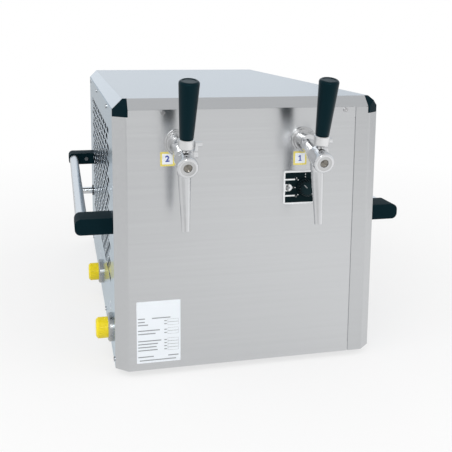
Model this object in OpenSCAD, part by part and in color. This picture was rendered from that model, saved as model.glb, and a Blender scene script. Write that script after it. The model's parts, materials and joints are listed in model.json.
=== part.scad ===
// Two-tap dry beer cooler: a sheet-metal case with two compensator taps, carry handles,
// a thermostat and a cooling unit inside. Millimetres, +Z up, the front faces -Y.

/* [Case] */
// Width of the case between its side faces
case_w = 400; // [390:5:460]
// Height of the case without its feet
case_h = 400; // [395:5:440]
// Depth of the case from front to back
case_d = 710; // [700:5:800]
// Thickness of the sheet metal
sheet_t = 1.2; // [1:0.1:1.6]
// Size of the slanted left and right top edges
top_bend = 15; // [12:1:18]
// Width of the slanted front corners, seen from the front
corner_w = 18; // [18:1:24]
// Depth of the slanted front corners, seen from the side
corner_d = 16; // [12:1:20]
// Height of the plastic caps on the top front corners
cap_h = 25; // [22:1:32]
// How far a corner cap reaches onto the front
cap_lap = 3; // [2:0.5:6]
// Height of the sloped lip at the front of the top cover
lip_h = 15; // [12:1:20]
// Height of the inner flanges that the panels are screwed to
flange_h = 16; // [14:1:20]
// Gap at the seams between panels
seam = 0.5; // [0.3:0.1:0.8]
// Width of the slit between the front panel and the front post
slit_w = 2; // [1:0.5:4]
// Flat width of the front post
post_w = 22; // [14:1:28]

/* [Feet and screws] */
// Diameter of a rubber foot
foot_d = 32; // [24:1:40]
// Height of a rubber foot
foot_h = 10; // [8:1:14]
// Distance of a foot's centre from the case's sides and ends
foot_inset = 60; // [50:1:80]
// Diameter of a panel screw's head
screw_head_d = 7; // [6:0.5:9]
// Height of a panel screw's head
screw_head_h = 1.6; // [1:0.2:2.4]
// Diameter of a panel screw's shank
screw_d = 3.9; // [3:0.1:4.5]
// Sideways distance of the front panel's right screw from the middle
front_screw_x = 143; // [120:1:150]
// Sideways distance of the front panel's left screw from the middle
left_screw_x = 130; // [120:1:150]

/* [Grille] */
// Length of a slot
slot_l = 44; // [30:1:46]
// Height of a slot
slot_h = 8.5; // [6:0.5:10]
// Distance between slots along a row
slot_pitch = 52; // [50:1:56]
// Distance between rows
row_pitch = 13; // [12:0.5:14]
// Gap between the grille's highest edge and the side's top edge
grille_top = 37; // [35:1:60]
// Number of slots in a long row
slot_columns = 10; // [5:1:10]
// Distance of the grille from the front
grille_front = 90; // [88:1:110]
// Height of the grille's lowest edge above the case's bottom
grille_bottom = 105; // [95:1:110]

/* [Handles] */
// How far a handle stands out from the side
handle_out = 54; // [50:1:70]
// Height of a handle's middle above the case's bottom
handle_z = 210; // [190:1:230]
// Height of an end bracket
bracket_h = 24; // [23:1:36]
// Depth of an end bracket from front to back
bracket_d = 45; // [38:1:60]
// Radius of an end bracket's outer edges
bracket_round = 9; // [5:1:11]
// Distance of the front brackets from the front
handle_front = 40; // [18:1:44]
// Distance of the rear brackets from the back
handle_rear = 62; // [50:1:90]
// Diameter of the handle tube
tube_d = 18; // [16:1:20]
// Wall of the handle tube
tube_wall = 1.5; // [1:0.25:3]
// Wall between the tube and a bracket's outer face
socket_wall = 2; // [1.5:0.25:4]
// Depth of the socket that takes the tube
socket_depth = 28; // [15:1:32]
// Distance of a bracket's screw from the side
bracket_screw_out = 16; // [12:1:18]

/* [Taps] */
// Sideways place of tap 1
tap_1_x = 78; // [70:1:90]
// Sideways place of tap 2
tap_2_x = -110; // [-120:1:-100]
// Distance of the taps' wall axis below the case's top
tap_drop = 62; // [56:1:68]
// Downward slope of a tap's barrel
tap_tilt = 13; // [8:1:16]
// Radius of the rosette's wide step
rosette_r = 18.5; // [17:0.5:22]
// Thickness of the rosette
rosette_t = 8; // [6:0.5:10]
// Outer radius of the shank
shank_r = 8; // [7:0.25:8.5]
// Bore radius of the shank
shank_bore_r = 4; // [3:0.25:5]
// Length of the shank behind the front panel's face
shank_inside = 50; // [40:1:60]
// Radius of the neck between the wall and the barrel
neck_r = 10.5; // [10:0.25:11.5]
// Radius of the barrel
barrel_r = 14; // [13.5:0.25:15]
// Radius of the barrel's bore, in which the piston runs
barrel_bore_r = 8; // [7.5:0.25:8.5]
// Radius of the rear bore, in which the compensator cone sits
cone_bore_r = 6.2; // [6:0.1:6.6]
// Distance along the barrel from the wall to the barrel's end
barrel_end = 84; // [82:1:90]
// Thickness of the front cap
front_cap_t = 8; // [7:0.5:10]
// Radius of the front cap
front_cap_r = 14.5; // [14:0.25:16]
// Radius of the recess in the front cap
recess_r = 5.75; // [5:0.25:7]
// Depth of the recess in the front cap
recess_depth = 5.5; // [4:0.5:6]

/* [Tap levers] */
// Distance along the barrel from the wall to the lever
lever_s = 70; // [68:0.5:72]
// Height of the lever's pivot above the barrel's axis
pivot_h = 11; // [10.5:0.25:11.5]
// Extra forward lean of the lever from square to the barrel
lever_lean = 2; // [0:1:4]
// Radius of the pivot pin
pin_r = 1.5; // [1.25:0.25:1.75]
// Radius of the lever's stem
stem_r = 4; // [3.5:0.25:4.25]
// Radius of the ferrule
ferrule_r = 10.75; // [9:0.25:11]
// Length of the ferrule with its cone
ferrule_l = 17; // [15:0.5:22]
// Length of the grip
grip_l = 80; // [60:1:95]
// Radius of the grip at its lower end
grip_low_r = 9.5; // [8.5:0.5:11]
// Radius of the grip at its upper end
grip_top_r = 14; // [11:0.5:16]
// Rounding of the grip's upper end
grip_round = 4; // [3:0.5:9]

/* [Spouts and compensators] */
// Distance along the wall's normal from the wall to the spout's root
spout_y = 58; // [56:0.5:60]
// Forward lean of the spout
spout_lean = 8; // [4:1:10]
// Length of the spout below its boss
spout_l = 76; // [60:1:95]
// Radius of the spout at its root
spout_root_r = 9; // [8:0.25:10]
// Radius of the spout at its mouth
spout_mouth_r = 5.5; // [4.5:0.25:6]
// Bore radius of the spout
spout_bore_r = 3.4; // [3:0.1:3.8]
// Distance along the barrel from the wall to the compensator's shaft
compensator_s = 42; // [40:0.5:44]
// Length of the compensator's arm
arm_l = 14; // [12:1:26]
// Radius of the compensator's shaft
compensator_shaft_r = 2.5; // [2:0.25:3]
// How far the compensator's tip stands out from the tap's middle
compensator_out = 27; // [24:1:38]

/* [Thermostat] */
// Sideways place of the knob
knob_x = 82; // [78:1:86]
// Distance of the knob below the taps' wall axis
knob_drop = 72; // [68:1:80]
// Radius of the knob
knob_r = 12.5; // [11:0.5:16]
// Height of the knob
knob_h = 14; // [12:1:18]
// Width of the dial plate
plate_w = 60; // [52:1:70]
// Height of the dial plate
plate_h = 50; // [46:1:58]
// Distance of the dial plate's middle to the left of the knob
plate_shift = 3.5; // [0:0.5:6]
// Thickness of the dial plate
plate_t = 2; // [1.5:0.25:3]
// Radius of the dial plate's corners
plate_round = 4; // [2:0.5:6]
// Radius of the thermostat's spindle
spindle_r = 3; // [2.5:0.25:3.5]

/* [Inlets, nozzle and gland] */
// Distance of the front inlet from the front
inlet_front_y = 72; // [66:1:78]
// Distance of the rear inlet from the front
inlet_rear_y = 335; // [325:1:345]
// Height of the inlets above the case's bottom
inlet_z = 41; // [38:1:44]
// Radius of an inlet's flange
inlet_flange_r = 22; // [20:0.5:23]
// Thickness of an inlet's flange
inlet_flange_t = 7; // [5:0.5:9]
// Outer radius of an inlet's nipple
nipple_r = 11; // [10:0.25:12]
// Bore radius of an inlet's nipple
nipple_bore_r = 5; // [4:0.25:7]
// Radius of the yellow cap
inlet_cap_r = 16; // [15:0.5:18]
// Length of the yellow cap
inlet_cap_l = 18; // [16:1:24]
// Distance of the hose nozzle from the back
nozzle_rear = 47; // [40:1:60]
// Height of the hose nozzle above the case's bottom
nozzle_z = 125; // [115:1:135]
// Outer radius of the hose nozzle
nozzle_r = 8; // [7:0.5:9]
// Bore radius of the hose nozzle
nozzle_bore_r = 5; // [3.5:0.25:5.25]
// How far the hose nozzle stands out
nozzle_out = 42; // [34:1:50]
// Bore radius of the cable gland
gland_bore_r = 4; // [3:0.25:5]
// How far the cable gland stands out
gland_out = 14; // [10:1:18]

/* [Cooling unit] */
// Width of the aluminium cooling block
block_w = 220; // [200:5:230]
// Depth of the aluminium cooling block
block_d = 210; // [200:5:220]
// Height of the aluminium cooling block
block_h = 240; // [220:5:250]
// Thickness of the foam round the block
foam_t = 25; // [20:1:28]
// Outer radius of a beer line
line_r = 5; // [4.5:0.25:5.5]
// Radius of the compressor's shell
compressor_r = 75; // [65:1:80]
// Height of the compressor's shell
compressor_h = 172; // [150:2:180]
// Thickness of the condenser
condenser_t = 40; // [30:1:45]
// Length of the condenser from front to back
condenser_l = 210; // [200:5:220]
// Height of the condenser's top above the case's bottom
condenser_top = 330; // [320:1:340]
// Number of condenser fins
fin_count = 14; // [8:1:18]
// Radius of the fan's blades
fan_r = 88; // [70:1:90]
// Outer radius of a refrigerant pipe
pipe_r = 3.5; // [2.5:0.25:4]

/* [Hidden] */
$fn = 48;

// Colours
steel = [0.78, 0.79, 0.80];
bright = [0.86, 0.87, 0.88];
black = [0.09, 0.13, 0.15];
yellow = [0.97, 0.82, 0.05];
copper = [0.72, 0.45, 0.30];
foam_white = [0.93, 0.92, 0.86];

// Clearances
run_gap = 0.05;
loose_gap = 0.3;
through = 1;

// Places in the case
half_w = case_w / 2;
inner_x = half_w - sheet_t;
side_h = case_h - top_bend;
lip_z = case_h - lip_h;
lip_d = corner_d - sheet_t;
lip_x = half_w - corner_w - cap_lap;
front_h = lip_z - seam;
tap_z = case_h - tap_drop;
knob_z = tap_z - knob_drop;
corner_l = sqrt(corner_w * corner_w + corner_d * corner_d);
slit_right = half_w - corner_w - post_w;
slit_left = slit_right - slit_w;
bend_inset = sheet_t * tan(22.5);
floor_z = sheet_t;
screw_l = 6;
screw_z = flange_h / 2;
top_screw_z = side_h - flange_h / 2;
front_screw_z = front_h - flange_h / 4;
top_screw_back = 40;
side_screws = [
    [30, screw_z], [230, screw_z], [470, screw_z], [case_d - 30, screw_z],
    [135, top_screw_z], [420, top_screw_z], [case_d - top_screw_back, top_screw_z]
];
back_screw_x = [-150, -50, 50, 150];
foot_spigot_r = 4;
foot_spigot_h = 5;

// Lever and grip, measured along the lever from its pivot
lean = tap_tilt + lever_lean;
cone_from = 6;
cone_to = 10;
grip_from = cone_from + ferrule_l;
grip_end = grip_from + grip_l;
tail_l = 9;
tail_r = 3;
stud_r = 4;
stud_l = 22;
pin_l = 15;
pivot_y = lever_s * cos(tap_tilt) + pivot_h * sin(tap_tilt);
tap_reach = pivot_y + (grip_end - grip_round) * sin(lean) + (grip_top_r - grip_round) * cos(lean) + grip_round;
front_y = (tap_reach - case_d - gland_out) / 2;

// Tap body
socket_l = 8;
collar_l = 18;
neck_from = 16;
neck_to = 34;
barrel_from = 60;
rear_bore_from = 14;
rear_bore_to = 52;
piston_from = 58;
piston_to = 80;
groove_back = 7;
groove_front = 8;
slot_back = 8;
slot_front = 8;
spout_boss_r = 10;
spout_boss_l = 21;
spout_drop = spout_y * tan(tap_tilt);
compensator_boss_r = 6;
compensator_boss_x = 15;
hub_r = 6.5;
hub_t = 6;
arm_w = 7;
arm_t = 4;
tip_r = 4;
cone_from_s = 24;
cone_to_s = 36;
cone_tail_to_s = 46;
nut_r = 16;
nut_t = 8;

// Thermostat
plate_x = knob_x - plate_shift;
thermostat_w = 44;
thermostat_h = 34;
thermostat_d = 26;
knob_wall = 3;
spindle_depth = 12;
dial_hole_r = 5;
flute_count = 18;
flute_r = 1.6;

// Grille
slot_rows = floor((side_h - grille_top - grille_bottom - slot_h) / row_pitch) + 1;

// Handles
tube_out = handle_out - socket_wall - tube_d / 2;
rear_bracket_y = case_d - handle_rear - bracket_d;
bracket_screw_r = 4;
bracket_screw_h = 2.2;
bracket_screw_l = 12;
bracket_shank_r = 2;

// Inlets
nipple_out = 14;
nipple_inside = 35;
nipple_hex_r = 17;
nipple_hex_t = 6;
cap_bore_depth = 15;
rib_count = 24;
rib_r = 1;
nozzle_y = case_d - nozzle_rear;
nozzle_tail_r = 6;
nozzle_inside = 16;
nozzle_nut_r = 11;
washer_r = 12;
washer_t = 2;
gland_r = 11;
gland_tail_r = 8;
gland_inside = 12;
gland_nut_r = 13;
gland_nut_t = 5;
gland_x = 120;
gland_z = 60;

// Cooling unit
foam_x = -110;
foam_y = 95;
block_x = foam_x + foam_t;
block_y = foam_y + foam_t;
block_z = floor_z + foam_t;
block_top = block_z + block_h;
foam_rim = 20;
line_bend = 12;
line_above = 40;
line_aside = 50;
line_z = block_top + line_above;
line_x = -half_w + line_aside;
line_1_x = 25;
line_1_y = 80;
line_2_x = 65;
line_2_back = 30;
line_out_y = 30;
sensor_ahead = 35;
sensor_inside = 20;
port_offset = 25;
suction_back = 50;
capillary_back = 20;
discharge_rise = 60;
discharge_behind = 50;
liquid_below = 30;
compressor_x = 70;
compressor_y = 520;
mount_h = 9;
mount_r = 12;
mount_span_x = 62;
mount_span_y = 62;
mount_plate_t = 3;
compressor_top = floor_z + mount_h + mount_plate_t + compressor_h;
compressor_flat_r = 48;
condenser_x = -half_w + 15;
condenser_y = 390;
condenser_in_x = condenser_x + condenser_t;
condenser_end = condenser_y + condenser_l;
end_plate_t = 3;
fin_t = 1;
fin_bottom = 90;
fan_y = condenser_y + condenser_l / 2;
fan_z = 210;
shroud_t = 2;
hoop_gap = 5;
hoop_wall = 3;
hoop_l = 34;
strut_w = 12;
strut_t = 3;
motor_r = 30;
motor_l = 42;
motor_base = hoop_l - 9;
strut_z = motor_base + strut_t;
rotor_gap = 5;
hub_fan_r = 22;
hub_fan_l = 18;
fan_shaft_r = 3;
fan_shaft_l = 20;
blade_count = 5;
blade_w = 52;
blade_t = 2;
blade_pitch = 20;
drier_r = 11;
drier_bottom = 150;
drier_l = 90;
drier_x = -60;
drier_y = 625;

// Frames that the pieces are drawn in

// Case: x from the middle, y back from the front face, z up from the case's bottom
module at_case() translate([0, front_y, foot_h]) children();

// Left side: drawn flat as (y, z), thickness goes inward
module on_left() at_case() translate([-half_w, 0, 0]) rotate([90, 0, 90]) children();

// A point on the left side with +Z pointing out
module out_left(y, z) at_case() translate([-half_w, y, z]) rotate([0, -90, 0]) children();

// Tap at the wall, level, and the same sloped with the barrel
module at_tap(x) at_case() translate([x, 0, tap_z]) children();
module along_tap(x) at_tap(x) rotate([tap_tilt, 0, 0]) children();

// +Z runs forward
module forward() rotate([90, 0, 0]) children();

// Lever: +Z up along the lever from its pivot
module at_lever(x)
    along_tap(x) translate([0, -lever_s, pivot_h]) rotate([lever_lean, 0, 0]) children();

// Spout: +Z runs down along the spout from the barrel's axis
module at_spout(x)
    at_tap(x) translate([0, -spout_y, -spout_drop]) rotate([180 - spout_lean, 0, 0]) children();

// Shapes that repeat

// Points of an arc
function arc(cx, cy, r, from, to, steps = 8) =
    [for (i = [0:steps]) let (a = from + (to - from) * i / steps) [cx + r * cos(a), cy + r * sin(a)]];

// Rectangle with round corners
module round_rect(w, h, r) {
    square([w - 2 * r, h], center = true);
    square([w, h - 2 * r], center = true);
    for (x = [-1, 1], y = [-1, 1])
        translate([x * (w / 2 - r), y * (h / 2 - r)]) circle(r);
}

// Slot with round ends
module slot_shape(l, h) {
    square([l - h, h], center = true);
    for (x = [-1, 1]) translate([x * (l - h) / 2, 0]) circle(h / 2);
}

// Straight rod between two points
module rod(a, b, r) {
    d = b - a;
    translate(a) rotate([0, acos(d.z / norm(d)), atan2(d.y, d.x)]) cylinder(r = r, h = norm(d));
}

// Pipe along points whose corners are square, with bends of one radius
function unit(v) = v / norm(v);
module pipe_run(points, r, bend) {
    last = len(points) - 1;
    for (i = [0:last - 1]) {
        u = unit(points[i + 1] - points[i]);
        rod(points[i] + (i > 0 ? bend : 0) * u, points[i + 1] - (i < last - 1 ? bend : 0) * u, r);
    }
    for (i = [1:last - 1]) {
        u = unit(points[i] - points[i - 1]);
        v = unit(points[i + 1] - points[i]);
        w = cross(u, v);
        c = points[i] + bend * (v - u);
        multmatrix([[-v.x, u.x, w.x, c.x], [-v.y, u.y, w.y, c.y], [-v.z, u.z, w.z, c.z], [0, 0, 0, 1]])
            rotate_extrude(angle = 90) translate([bend, 0]) circle(r);
    }
}

// Places of the panel screws, +Z pointing out of the panel
module place_screws() {
    for (x = [-left_screw_x, front_screw_x]) at_case() translate([x, 0, front_screw_z]) forward() children();
    for (p = side_screws) {
        out_left(p.x, p.y) children();
        mirror([1, 0, 0]) out_left(p.x, p.y) children();
    }
    for (x = back_screw_x) at_case() translate([x, case_d, screw_z]) rotate([-90, 0, 0]) children();
}
module screw_holes()
    place_screws() translate([0, 0, -screw_l - through]) cylinder(r = screw_d / 2 + run_gap, h = screw_l + 2 * through);

// Slanted corner strip, seen from above, on the left
module corner_strip()
    polygon([
        [-half_w + corner_w, 0], [-half_w, corner_d],
        [-half_w + sheet_t * corner_l / corner_d, corner_d],
        [-half_w + (sheet_t * corner_l + (corner_d - sheet_t) * corner_w) / corner_d, sheet_t],
        [-half_w + corner_w, sheet_t]
    ]);

// Case

module base_tray() color(steel) difference() {
    at_case() {
        linear_extrude(sheet_t) polygon([
            [-inner_x, case_d - sheet_t], [-inner_x, corner_d + sheet_t],
            [-half_w + corner_w + sheet_t, sheet_t], [half_w - corner_w - sheet_t, sheet_t],
            [inner_x, corner_d + sheet_t], [inner_x, case_d - sheet_t]
        ]);
        translate([-half_w + corner_w + sheet_t, sheet_t, 0])
            cube([case_w - 2 * corner_w - 2 * sheet_t, sheet_t, flange_h]);
        translate([-inner_x, case_d - 2 * sheet_t, 0]) cube([2 * inner_x, sheet_t, flange_h]);
        for (side = [0, 1]) mirror([side, 0, 0])
            translate([-inner_x, corner_d + sheet_t, 0])
                cube([sheet_t, case_d - corner_d - 2 * sheet_t, flange_h]);
    }
    screw_holes();
    at_feet() cylinder(r = foot_spigot_r + run_gap, h = sheet_t + 2 * through, center = true);
}

module at_feet()
    for (x = [-1, 1], y = [foot_inset, case_d - foot_inset])
        at_case() translate([x * (half_w - foot_inset), y, 0]) children();

module rubber_feet() color(black) at_feet() rotate([180, 0, 0]) {
    rotate_extrude() polygon(concat(
        [[0, -foot_spigot_h], [foot_spigot_r, -foot_spigot_h], [foot_spigot_r, 0], [foot_d / 2, 0]],
        arc(foot_d / 2 - 3, foot_h - 2, 2, 0, 90, 4), [[0, foot_h]]
    ));
}

module top_profile() polygon([
    [-half_w + seam, side_h + seam], [-half_w + top_bend, case_h], [half_w - top_bend, case_h],
    [half_w - seam, side_h + seam], [half_w - seam - sheet_t * sqrt(2), side_h + seam],
    [half_w - top_bend - bend_inset, case_h - sheet_t], [-half_w + top_bend + bend_inset, case_h - sheet_t],
    [-half_w + seam + sheet_t * sqrt(2), side_h + seam]
]);

// Sloped lip at the front, its depth along X and its height along Y, turned to run along the case's width
module lip_profile() {
    inset = sheet_t * sqrt(lip_d * lip_d + lip_h * lip_h) / lip_h;
    polygon([
        [0, lip_z], [lip_d, case_h], [corner_d + sheet_t, case_h], [corner_d + sheet_t, case_h - sheet_t],
        [lip_d - sheet_t * lip_d / lip_h + inset, case_h - sheet_t], [inset, lip_z]
    ]);
}
module across(from, to) translate([from, 0, 0]) rotate([90, 0, 90]) linear_extrude(to - from) children();

module top_cover() color(steel) difference() {
    at_case() {
        translate([0, case_d, 0]) forward() linear_extrude(case_d - corner_d) top_profile();
        across(-lip_x, lip_x) lip_profile();
        translate([-lip_x + sheet_t, sheet_t, front_h - flange_h])
            cube([2 * (lip_x - sheet_t), sheet_t, flange_h + seam + sheet_t / 2]);
        for (side = [0, 1]) mirror([side, 0, 0])
            translate([-inner_x, corner_d + 2 * sheet_t, side_h - flange_h])
                cube([sheet_t, case_d - corner_d - 4 * sheet_t, flange_h + seam + sheet_t / 2]);
    }
    screw_holes();
}

module side_slots()
    for (row = [0:slot_rows - 1]) {
        short = row % 2;
        for (i = [0:slot_columns - 1 - short])
            translate([
                grille_front + slot_l / 2 + (i + short / 2) * slot_pitch,
                grille_bottom + slot_h / 2 + row * row_pitch
            ]) slot_shape(slot_l, slot_h);
    }

module side_sheet() linear_extrude(sheet_t) difference() {
    translate([corner_d + seam, 0]) square([case_d - corner_d - seam, side_h]);
    side_slots();
}

module inlet_places() for (y = [inlet_front_y, inlet_rear_y]) out_left(y, inlet_z) children();

module left_side_panel() color(steel) difference() {
    on_left() side_sheet();
    screw_holes();
    inlet_places() cylinder(r = nipple_r + run_gap, h = 4 * sheet_t, center = true);
    out_left(nozzle_y, nozzle_z) cylinder(r = nozzle_tail_r + run_gap, h = 4 * sheet_t, center = true);
}

module right_side_panel() color(steel) difference() {
    mirror([1, 0, 0]) on_left() side_sheet();
    screw_holes();
}

// Room in the front's top left corner for the corner cap
module cap_notch() at_case() translate([-lip_x - cap_lap - through, -through, case_h - cap_h])
    cube([cap_lap + through, sheet_t + 2 * through, cap_h]);

module front_panel() color(steel) difference() {
    at_case() {
        translate([-half_w + corner_w, 0, 0]) cube([slit_left + half_w - corner_w, sheet_t, front_h]);
        linear_extrude(case_h - cap_h) corner_strip();
    }
    cap_notch();
    screw_holes();
    for (x = [tap_1_x, tap_2_x])
        at_tap(x) forward() cylinder(r = shank_r + run_gap, h = 4 * sheet_t, center = true);
    at_dial() cylinder(r = dial_hole_r, h = 4 * sheet_t, center = true);
}

module front_post() color(steel) difference() {
    at_case() {
        translate([slit_right, 0, 0]) cube([post_w, sheet_t, front_h]);
        mirror([1, 0, 0]) linear_extrude(case_h - cap_h) corner_strip();
        translate([slit_left - flange_h, sheet_t, flange_h + seam])
            cube([flange_h + slit_w + post_w / 2, sheet_t, front_h - 2 * flange_h - 2 * seam]);
    }
    mirror([1, 0, 0]) cap_notch();
}

module back_panel() color(steel) difference() {
    at_case() translate([0, case_d, 0]) forward() linear_extrude(sheet_t) polygon([
        [-inner_x, 0], [-inner_x, side_h - bend_inset], [-half_w + top_bend + bend_inset, case_h - sheet_t],
        [half_w - top_bend - bend_inset, case_h - sheet_t], [inner_x, side_h - bend_inset], [inner_x, 0]
    ]);
    screw_holes();
    at_gland() cylinder(r = gland_tail_r + run_gap, h = 4 * sheet_t, center = true);
}

// Solid corner under the slanted side edge and the sloped lip
module corner_cap() color(black) at_case() {
    low = case_h - cap_h;
    rise = through * lip_h / lip_d;
    intersection() {
        translate([0, 0, low]) linear_extrude(cap_h + through) polygon([
            [-half_w, corner_d], [-half_w + corner_w, 0], [-lip_x, 0], [-lip_x, corner_d]
        ]);
        translate([0, corner_d + through, 0]) forward() linear_extrude(corner_d + 2 * through) polygon([
            [-half_w - through, low - through], [-half_w - through, side_h - through], [-half_w + top_bend, case_h],
            [-lip_x + through, case_h], [-lip_x + through, low - through]
        ]);
        across(-half_w - through, -lip_x + through) polygon([
            [-through, low - through], [-through, lip_z - rise], [lip_d + through, case_h + rise],
            [corner_d + 2 * through, case_h + rise], [corner_d + 2 * through, low - through]
        ]);
    }
}
module left_corner_cap() corner_cap();
module right_corner_cap() mirror([1, 0, 0]) corner_cap();

module panel_screws() color(bright) place_screws() difference() {
    union() {
        cylinder(r = screw_head_d / 2, h = screw_head_h);
        translate([0, 0, -screw_l]) cylinder(r = screw_d / 2, h = screw_l + screw_head_h / 2);
    }
    translate([0, 0, screw_head_h / 2]) cylinder(r = screw_d / 2, h = screw_head_h, $fn = 6);
}

// Carry handles

module bracket_shape() {
    translate([0, -bracket_h / 2]) square([handle_out - bracket_round, bracket_h]);
    translate([0, -bracket_h / 2 + bracket_round]) square([handle_out, bracket_h - 2 * bracket_round]);
    for (z = [-1, 1]) translate([handle_out - bracket_round, z * (bracket_h / 2 - bracket_round)]) circle(bracket_round);
}

// Bracket on the right, its socket facing +Y
module bracket() difference() {
    translate([0, bracket_d, 0]) forward() linear_extrude(bracket_d) bracket_shape();
    translate([tube_out, bracket_d - socket_depth, 0]) rotate([-90, 0, 0])
        cylinder(r = tube_d / 2 + run_gap, h = socket_depth + through);
    translate([bracket_screw_out, bracket_d - bracket_screw_l, 0]) rotate([-90, 0, 0])
        cylinder(r = bracket_shank_r + run_gap, h = bracket_screw_l + through);
}
module bracket_screw() translate([bracket_screw_out, bracket_d, 0]) rotate([-90, 0, 0]) difference() {
    union() {
        cylinder(r = bracket_screw_r, h = bracket_screw_h);
        translate([0, 0, -bracket_screw_l]) cylinder(r = bracket_shank_r, h = bracket_screw_l + bracket_screw_h / 2);
    }
    translate([0, 0, bracket_screw_h / 2]) cylinder(r = bracket_shank_r, h = bracket_screw_h, $fn = 6);
}
module at_right_front() at_case() translate([half_w, handle_front, handle_z]) children();
module at_right_rear()
    at_case() translate([half_w, rear_bracket_y + bracket_d, handle_z]) mirror([0, 1, 0]) children();
module to_left() mirror([1, 0, 0]) children();

module right_front_bracket() color(black) at_right_front() bracket();
module right_rear_bracket() color(black) at_right_rear() bracket();
module left_front_bracket() color(black) to_left() at_right_front() bracket();
module left_rear_bracket() color(black) to_left() at_right_rear() bracket();

module bracket_screws() color(bright) for (side = [0, 1]) mirror([side, 0, 0]) {
    at_right_front() bracket_screw();
    at_right_rear() bracket_screw();
}

module handle_tube() {
    from = handle_front + bracket_d - socket_depth;
    to = rear_bracket_y + socket_depth;
    at_case() translate([half_w + tube_out, from, handle_z]) rotate([-90, 0, 0]) difference() {
        cylinder(r = tube_d / 2, h = to - from);
        translate([0, 0, -through]) cylinder(r = tube_d / 2 - tube_wall, h = to - from + 2 * through);
    }
}
module right_handle_tube() color(bright) handle_tube();
module left_handle_tube() color(bright) to_left() handle_tube();

// Taps

module rosette(x) color(bright) at_tap(x) forward() difference() {
    rotate_extrude() polygon([
        [0, 0], [rosette_r, 0], [rosette_r, rosette_t / 2 - 1], [rosette_r - 1, rosette_t / 2],
        [rosette_r - 2.5, rosette_t / 2], [rosette_r - 2.5, rosette_t - 1], [rosette_r - 3.5, rosette_t], [0, rosette_t]
    ]);
    translate([0, 0, -through]) cylinder(r = shank_r + run_gap, h = rosette_t + 2 * through);
}

module shank(x) color(steel) at_tap(x) forward() difference() {
    translate([0, 0, -shank_inside]) cylinder(r = shank_r, h = shank_inside + rosette_t + socket_l);
    translate([0, 0, -shank_inside - through])
        cylinder(r = shank_bore_r, h = shank_inside + rosette_t + socket_l + 2 * through);
}

module shank_nuts() color(steel) for (x = [tap_1_x, tap_2_x])
    at_tap(x) translate([0, sheet_t + nut_t, 0]) forward() difference() {
        cylinder(r = nut_r, h = nut_t, $fn = 6);
        translate([0, 0, -through]) cylinder(r = shank_r + run_gap, h = nut_t + 2 * through);
    }

module tap_body(x) color(bright) difference() {
    union() {
        at_tap(x) forward() translate([0, 0, rosette_t]) cylinder(r = neck_r, h = collar_l);
        along_tap(x) forward() rotate_extrude() polygon([
            [0, neck_from], [neck_r, neck_from], [neck_r, neck_to], [barrel_r, barrel_from],
            [barrel_r, barrel_end], [0, barrel_end]
        ]);
        at_spout(x) cylinder(r = spout_boss_r, h = spout_boss_l);
        along_tap(x) translate([0, -compensator_s, 0]) rotate([0, 90, 0])
            cylinder(r = compensator_boss_r, h = compensator_boss_x);
    }
    at_tap(x) forward() cylinder(r = shank_r + run_gap, h = rosette_t + socket_l);
    along_tap(x) forward() {
        translate([0, 0, rear_bore_from]) cylinder(r = cone_bore_r, h = rear_bore_to - rear_bore_from + through);
        translate([0, 0, rear_bore_to]) cylinder(r = barrel_bore_r, h = barrel_end - rear_bore_to + through);
    }
    at_spout(x) cylinder(r = spout_bore_r, h = spout_boss_l + through);
    along_tap(x) translate([0, -compensator_s, 0]) rotate([0, 90, 0])
        cylinder(r = compensator_shaft_r + run_gap, h = compensator_boss_x + through);
    along_tap(x) translate([-stem_r - loose_gap, -lever_s - slot_front, 0])
        cube([2 * stem_r + 2 * loose_gap, slot_front + slot_back, barrel_r + through]);
    along_tap(x) translate([-barrel_r, -lever_s, pivot_h]) rotate([0, 90, 0])
        cylinder(r = pin_r + run_gap, h = 2 * barrel_r);
}

module tap_front_cap(x) color(bright) along_tap(x) forward() translate([0, 0, barrel_end]) difference() {
    rotate_extrude() polygon(concat(
        [[0, 0], [front_cap_r - 1, 0], [front_cap_r, 1]],
        arc(front_cap_r - 2, front_cap_t - 2, 2, 0, 90, 5), [[0, front_cap_t]]
    ));
    translate([0, 0, front_cap_t - recess_depth]) cylinder(r = recess_r, h = recess_depth + through);
}

module front_cap_screws() color(bright) for (x = [tap_1_x, tap_2_x])
    along_tap(x) forward() translate([0, 0, barrel_end + front_cap_t - recess_depth]) difference() {
        cylinder(r = recess_r - 1.5, h = recess_depth - 2);
        translate([0, 0, 1]) cylinder(r = recess_r / 3, h = recess_depth, $fn = 6);
    }

module tap_piston(x) color(steel) along_tap(x) difference() {
    forward() translate([0, 0, piston_from]) cylinder(r = barrel_bore_r - run_gap, h = piston_to - piston_from);
    translate([-tail_r - loose_gap, -lever_s - groove_front, 0])
        cube([2 * tail_r + 2 * loose_gap, groove_front + groove_back, barrel_bore_r + through]);
}

module tap_lever(x) color(bright) at_lever(x) {
    rotate_extrude() polygon([
        [0, -tail_l], [tail_r - 1, -tail_l], [tail_r, -tail_l + 1], [tail_r, -2], [stem_r, -1],
        [stem_r, cone_from], [ferrule_r - 0.5, cone_to], [ferrule_r, cone_to + 1],
        [ferrule_r, grip_from - 1], [ferrule_r - 1, grip_from], [stud_r, grip_from],
        [stud_r, grip_from + stud_l], [0, grip_from + stud_l]
    ]);
    rotate([0, 90, 0]) cylinder(r = pin_r, h = pin_l, center = true);
}

module tap_grip(x) color(black) at_lever(x) translate([0, 0, grip_from]) difference() {
    rotate_extrude() polygon(concat(
        [[0, 0]], arc(grip_low_r - 2, 2, 2, -90, 0, 4),
        arc(grip_top_r - grip_round, grip_l - grip_round, grip_round, 0, 90), [[0, grip_l]]
    ));
    translate([0, 0, -through]) cylinder(r = stud_r + run_gap, h = stud_l + through);
}

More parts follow.
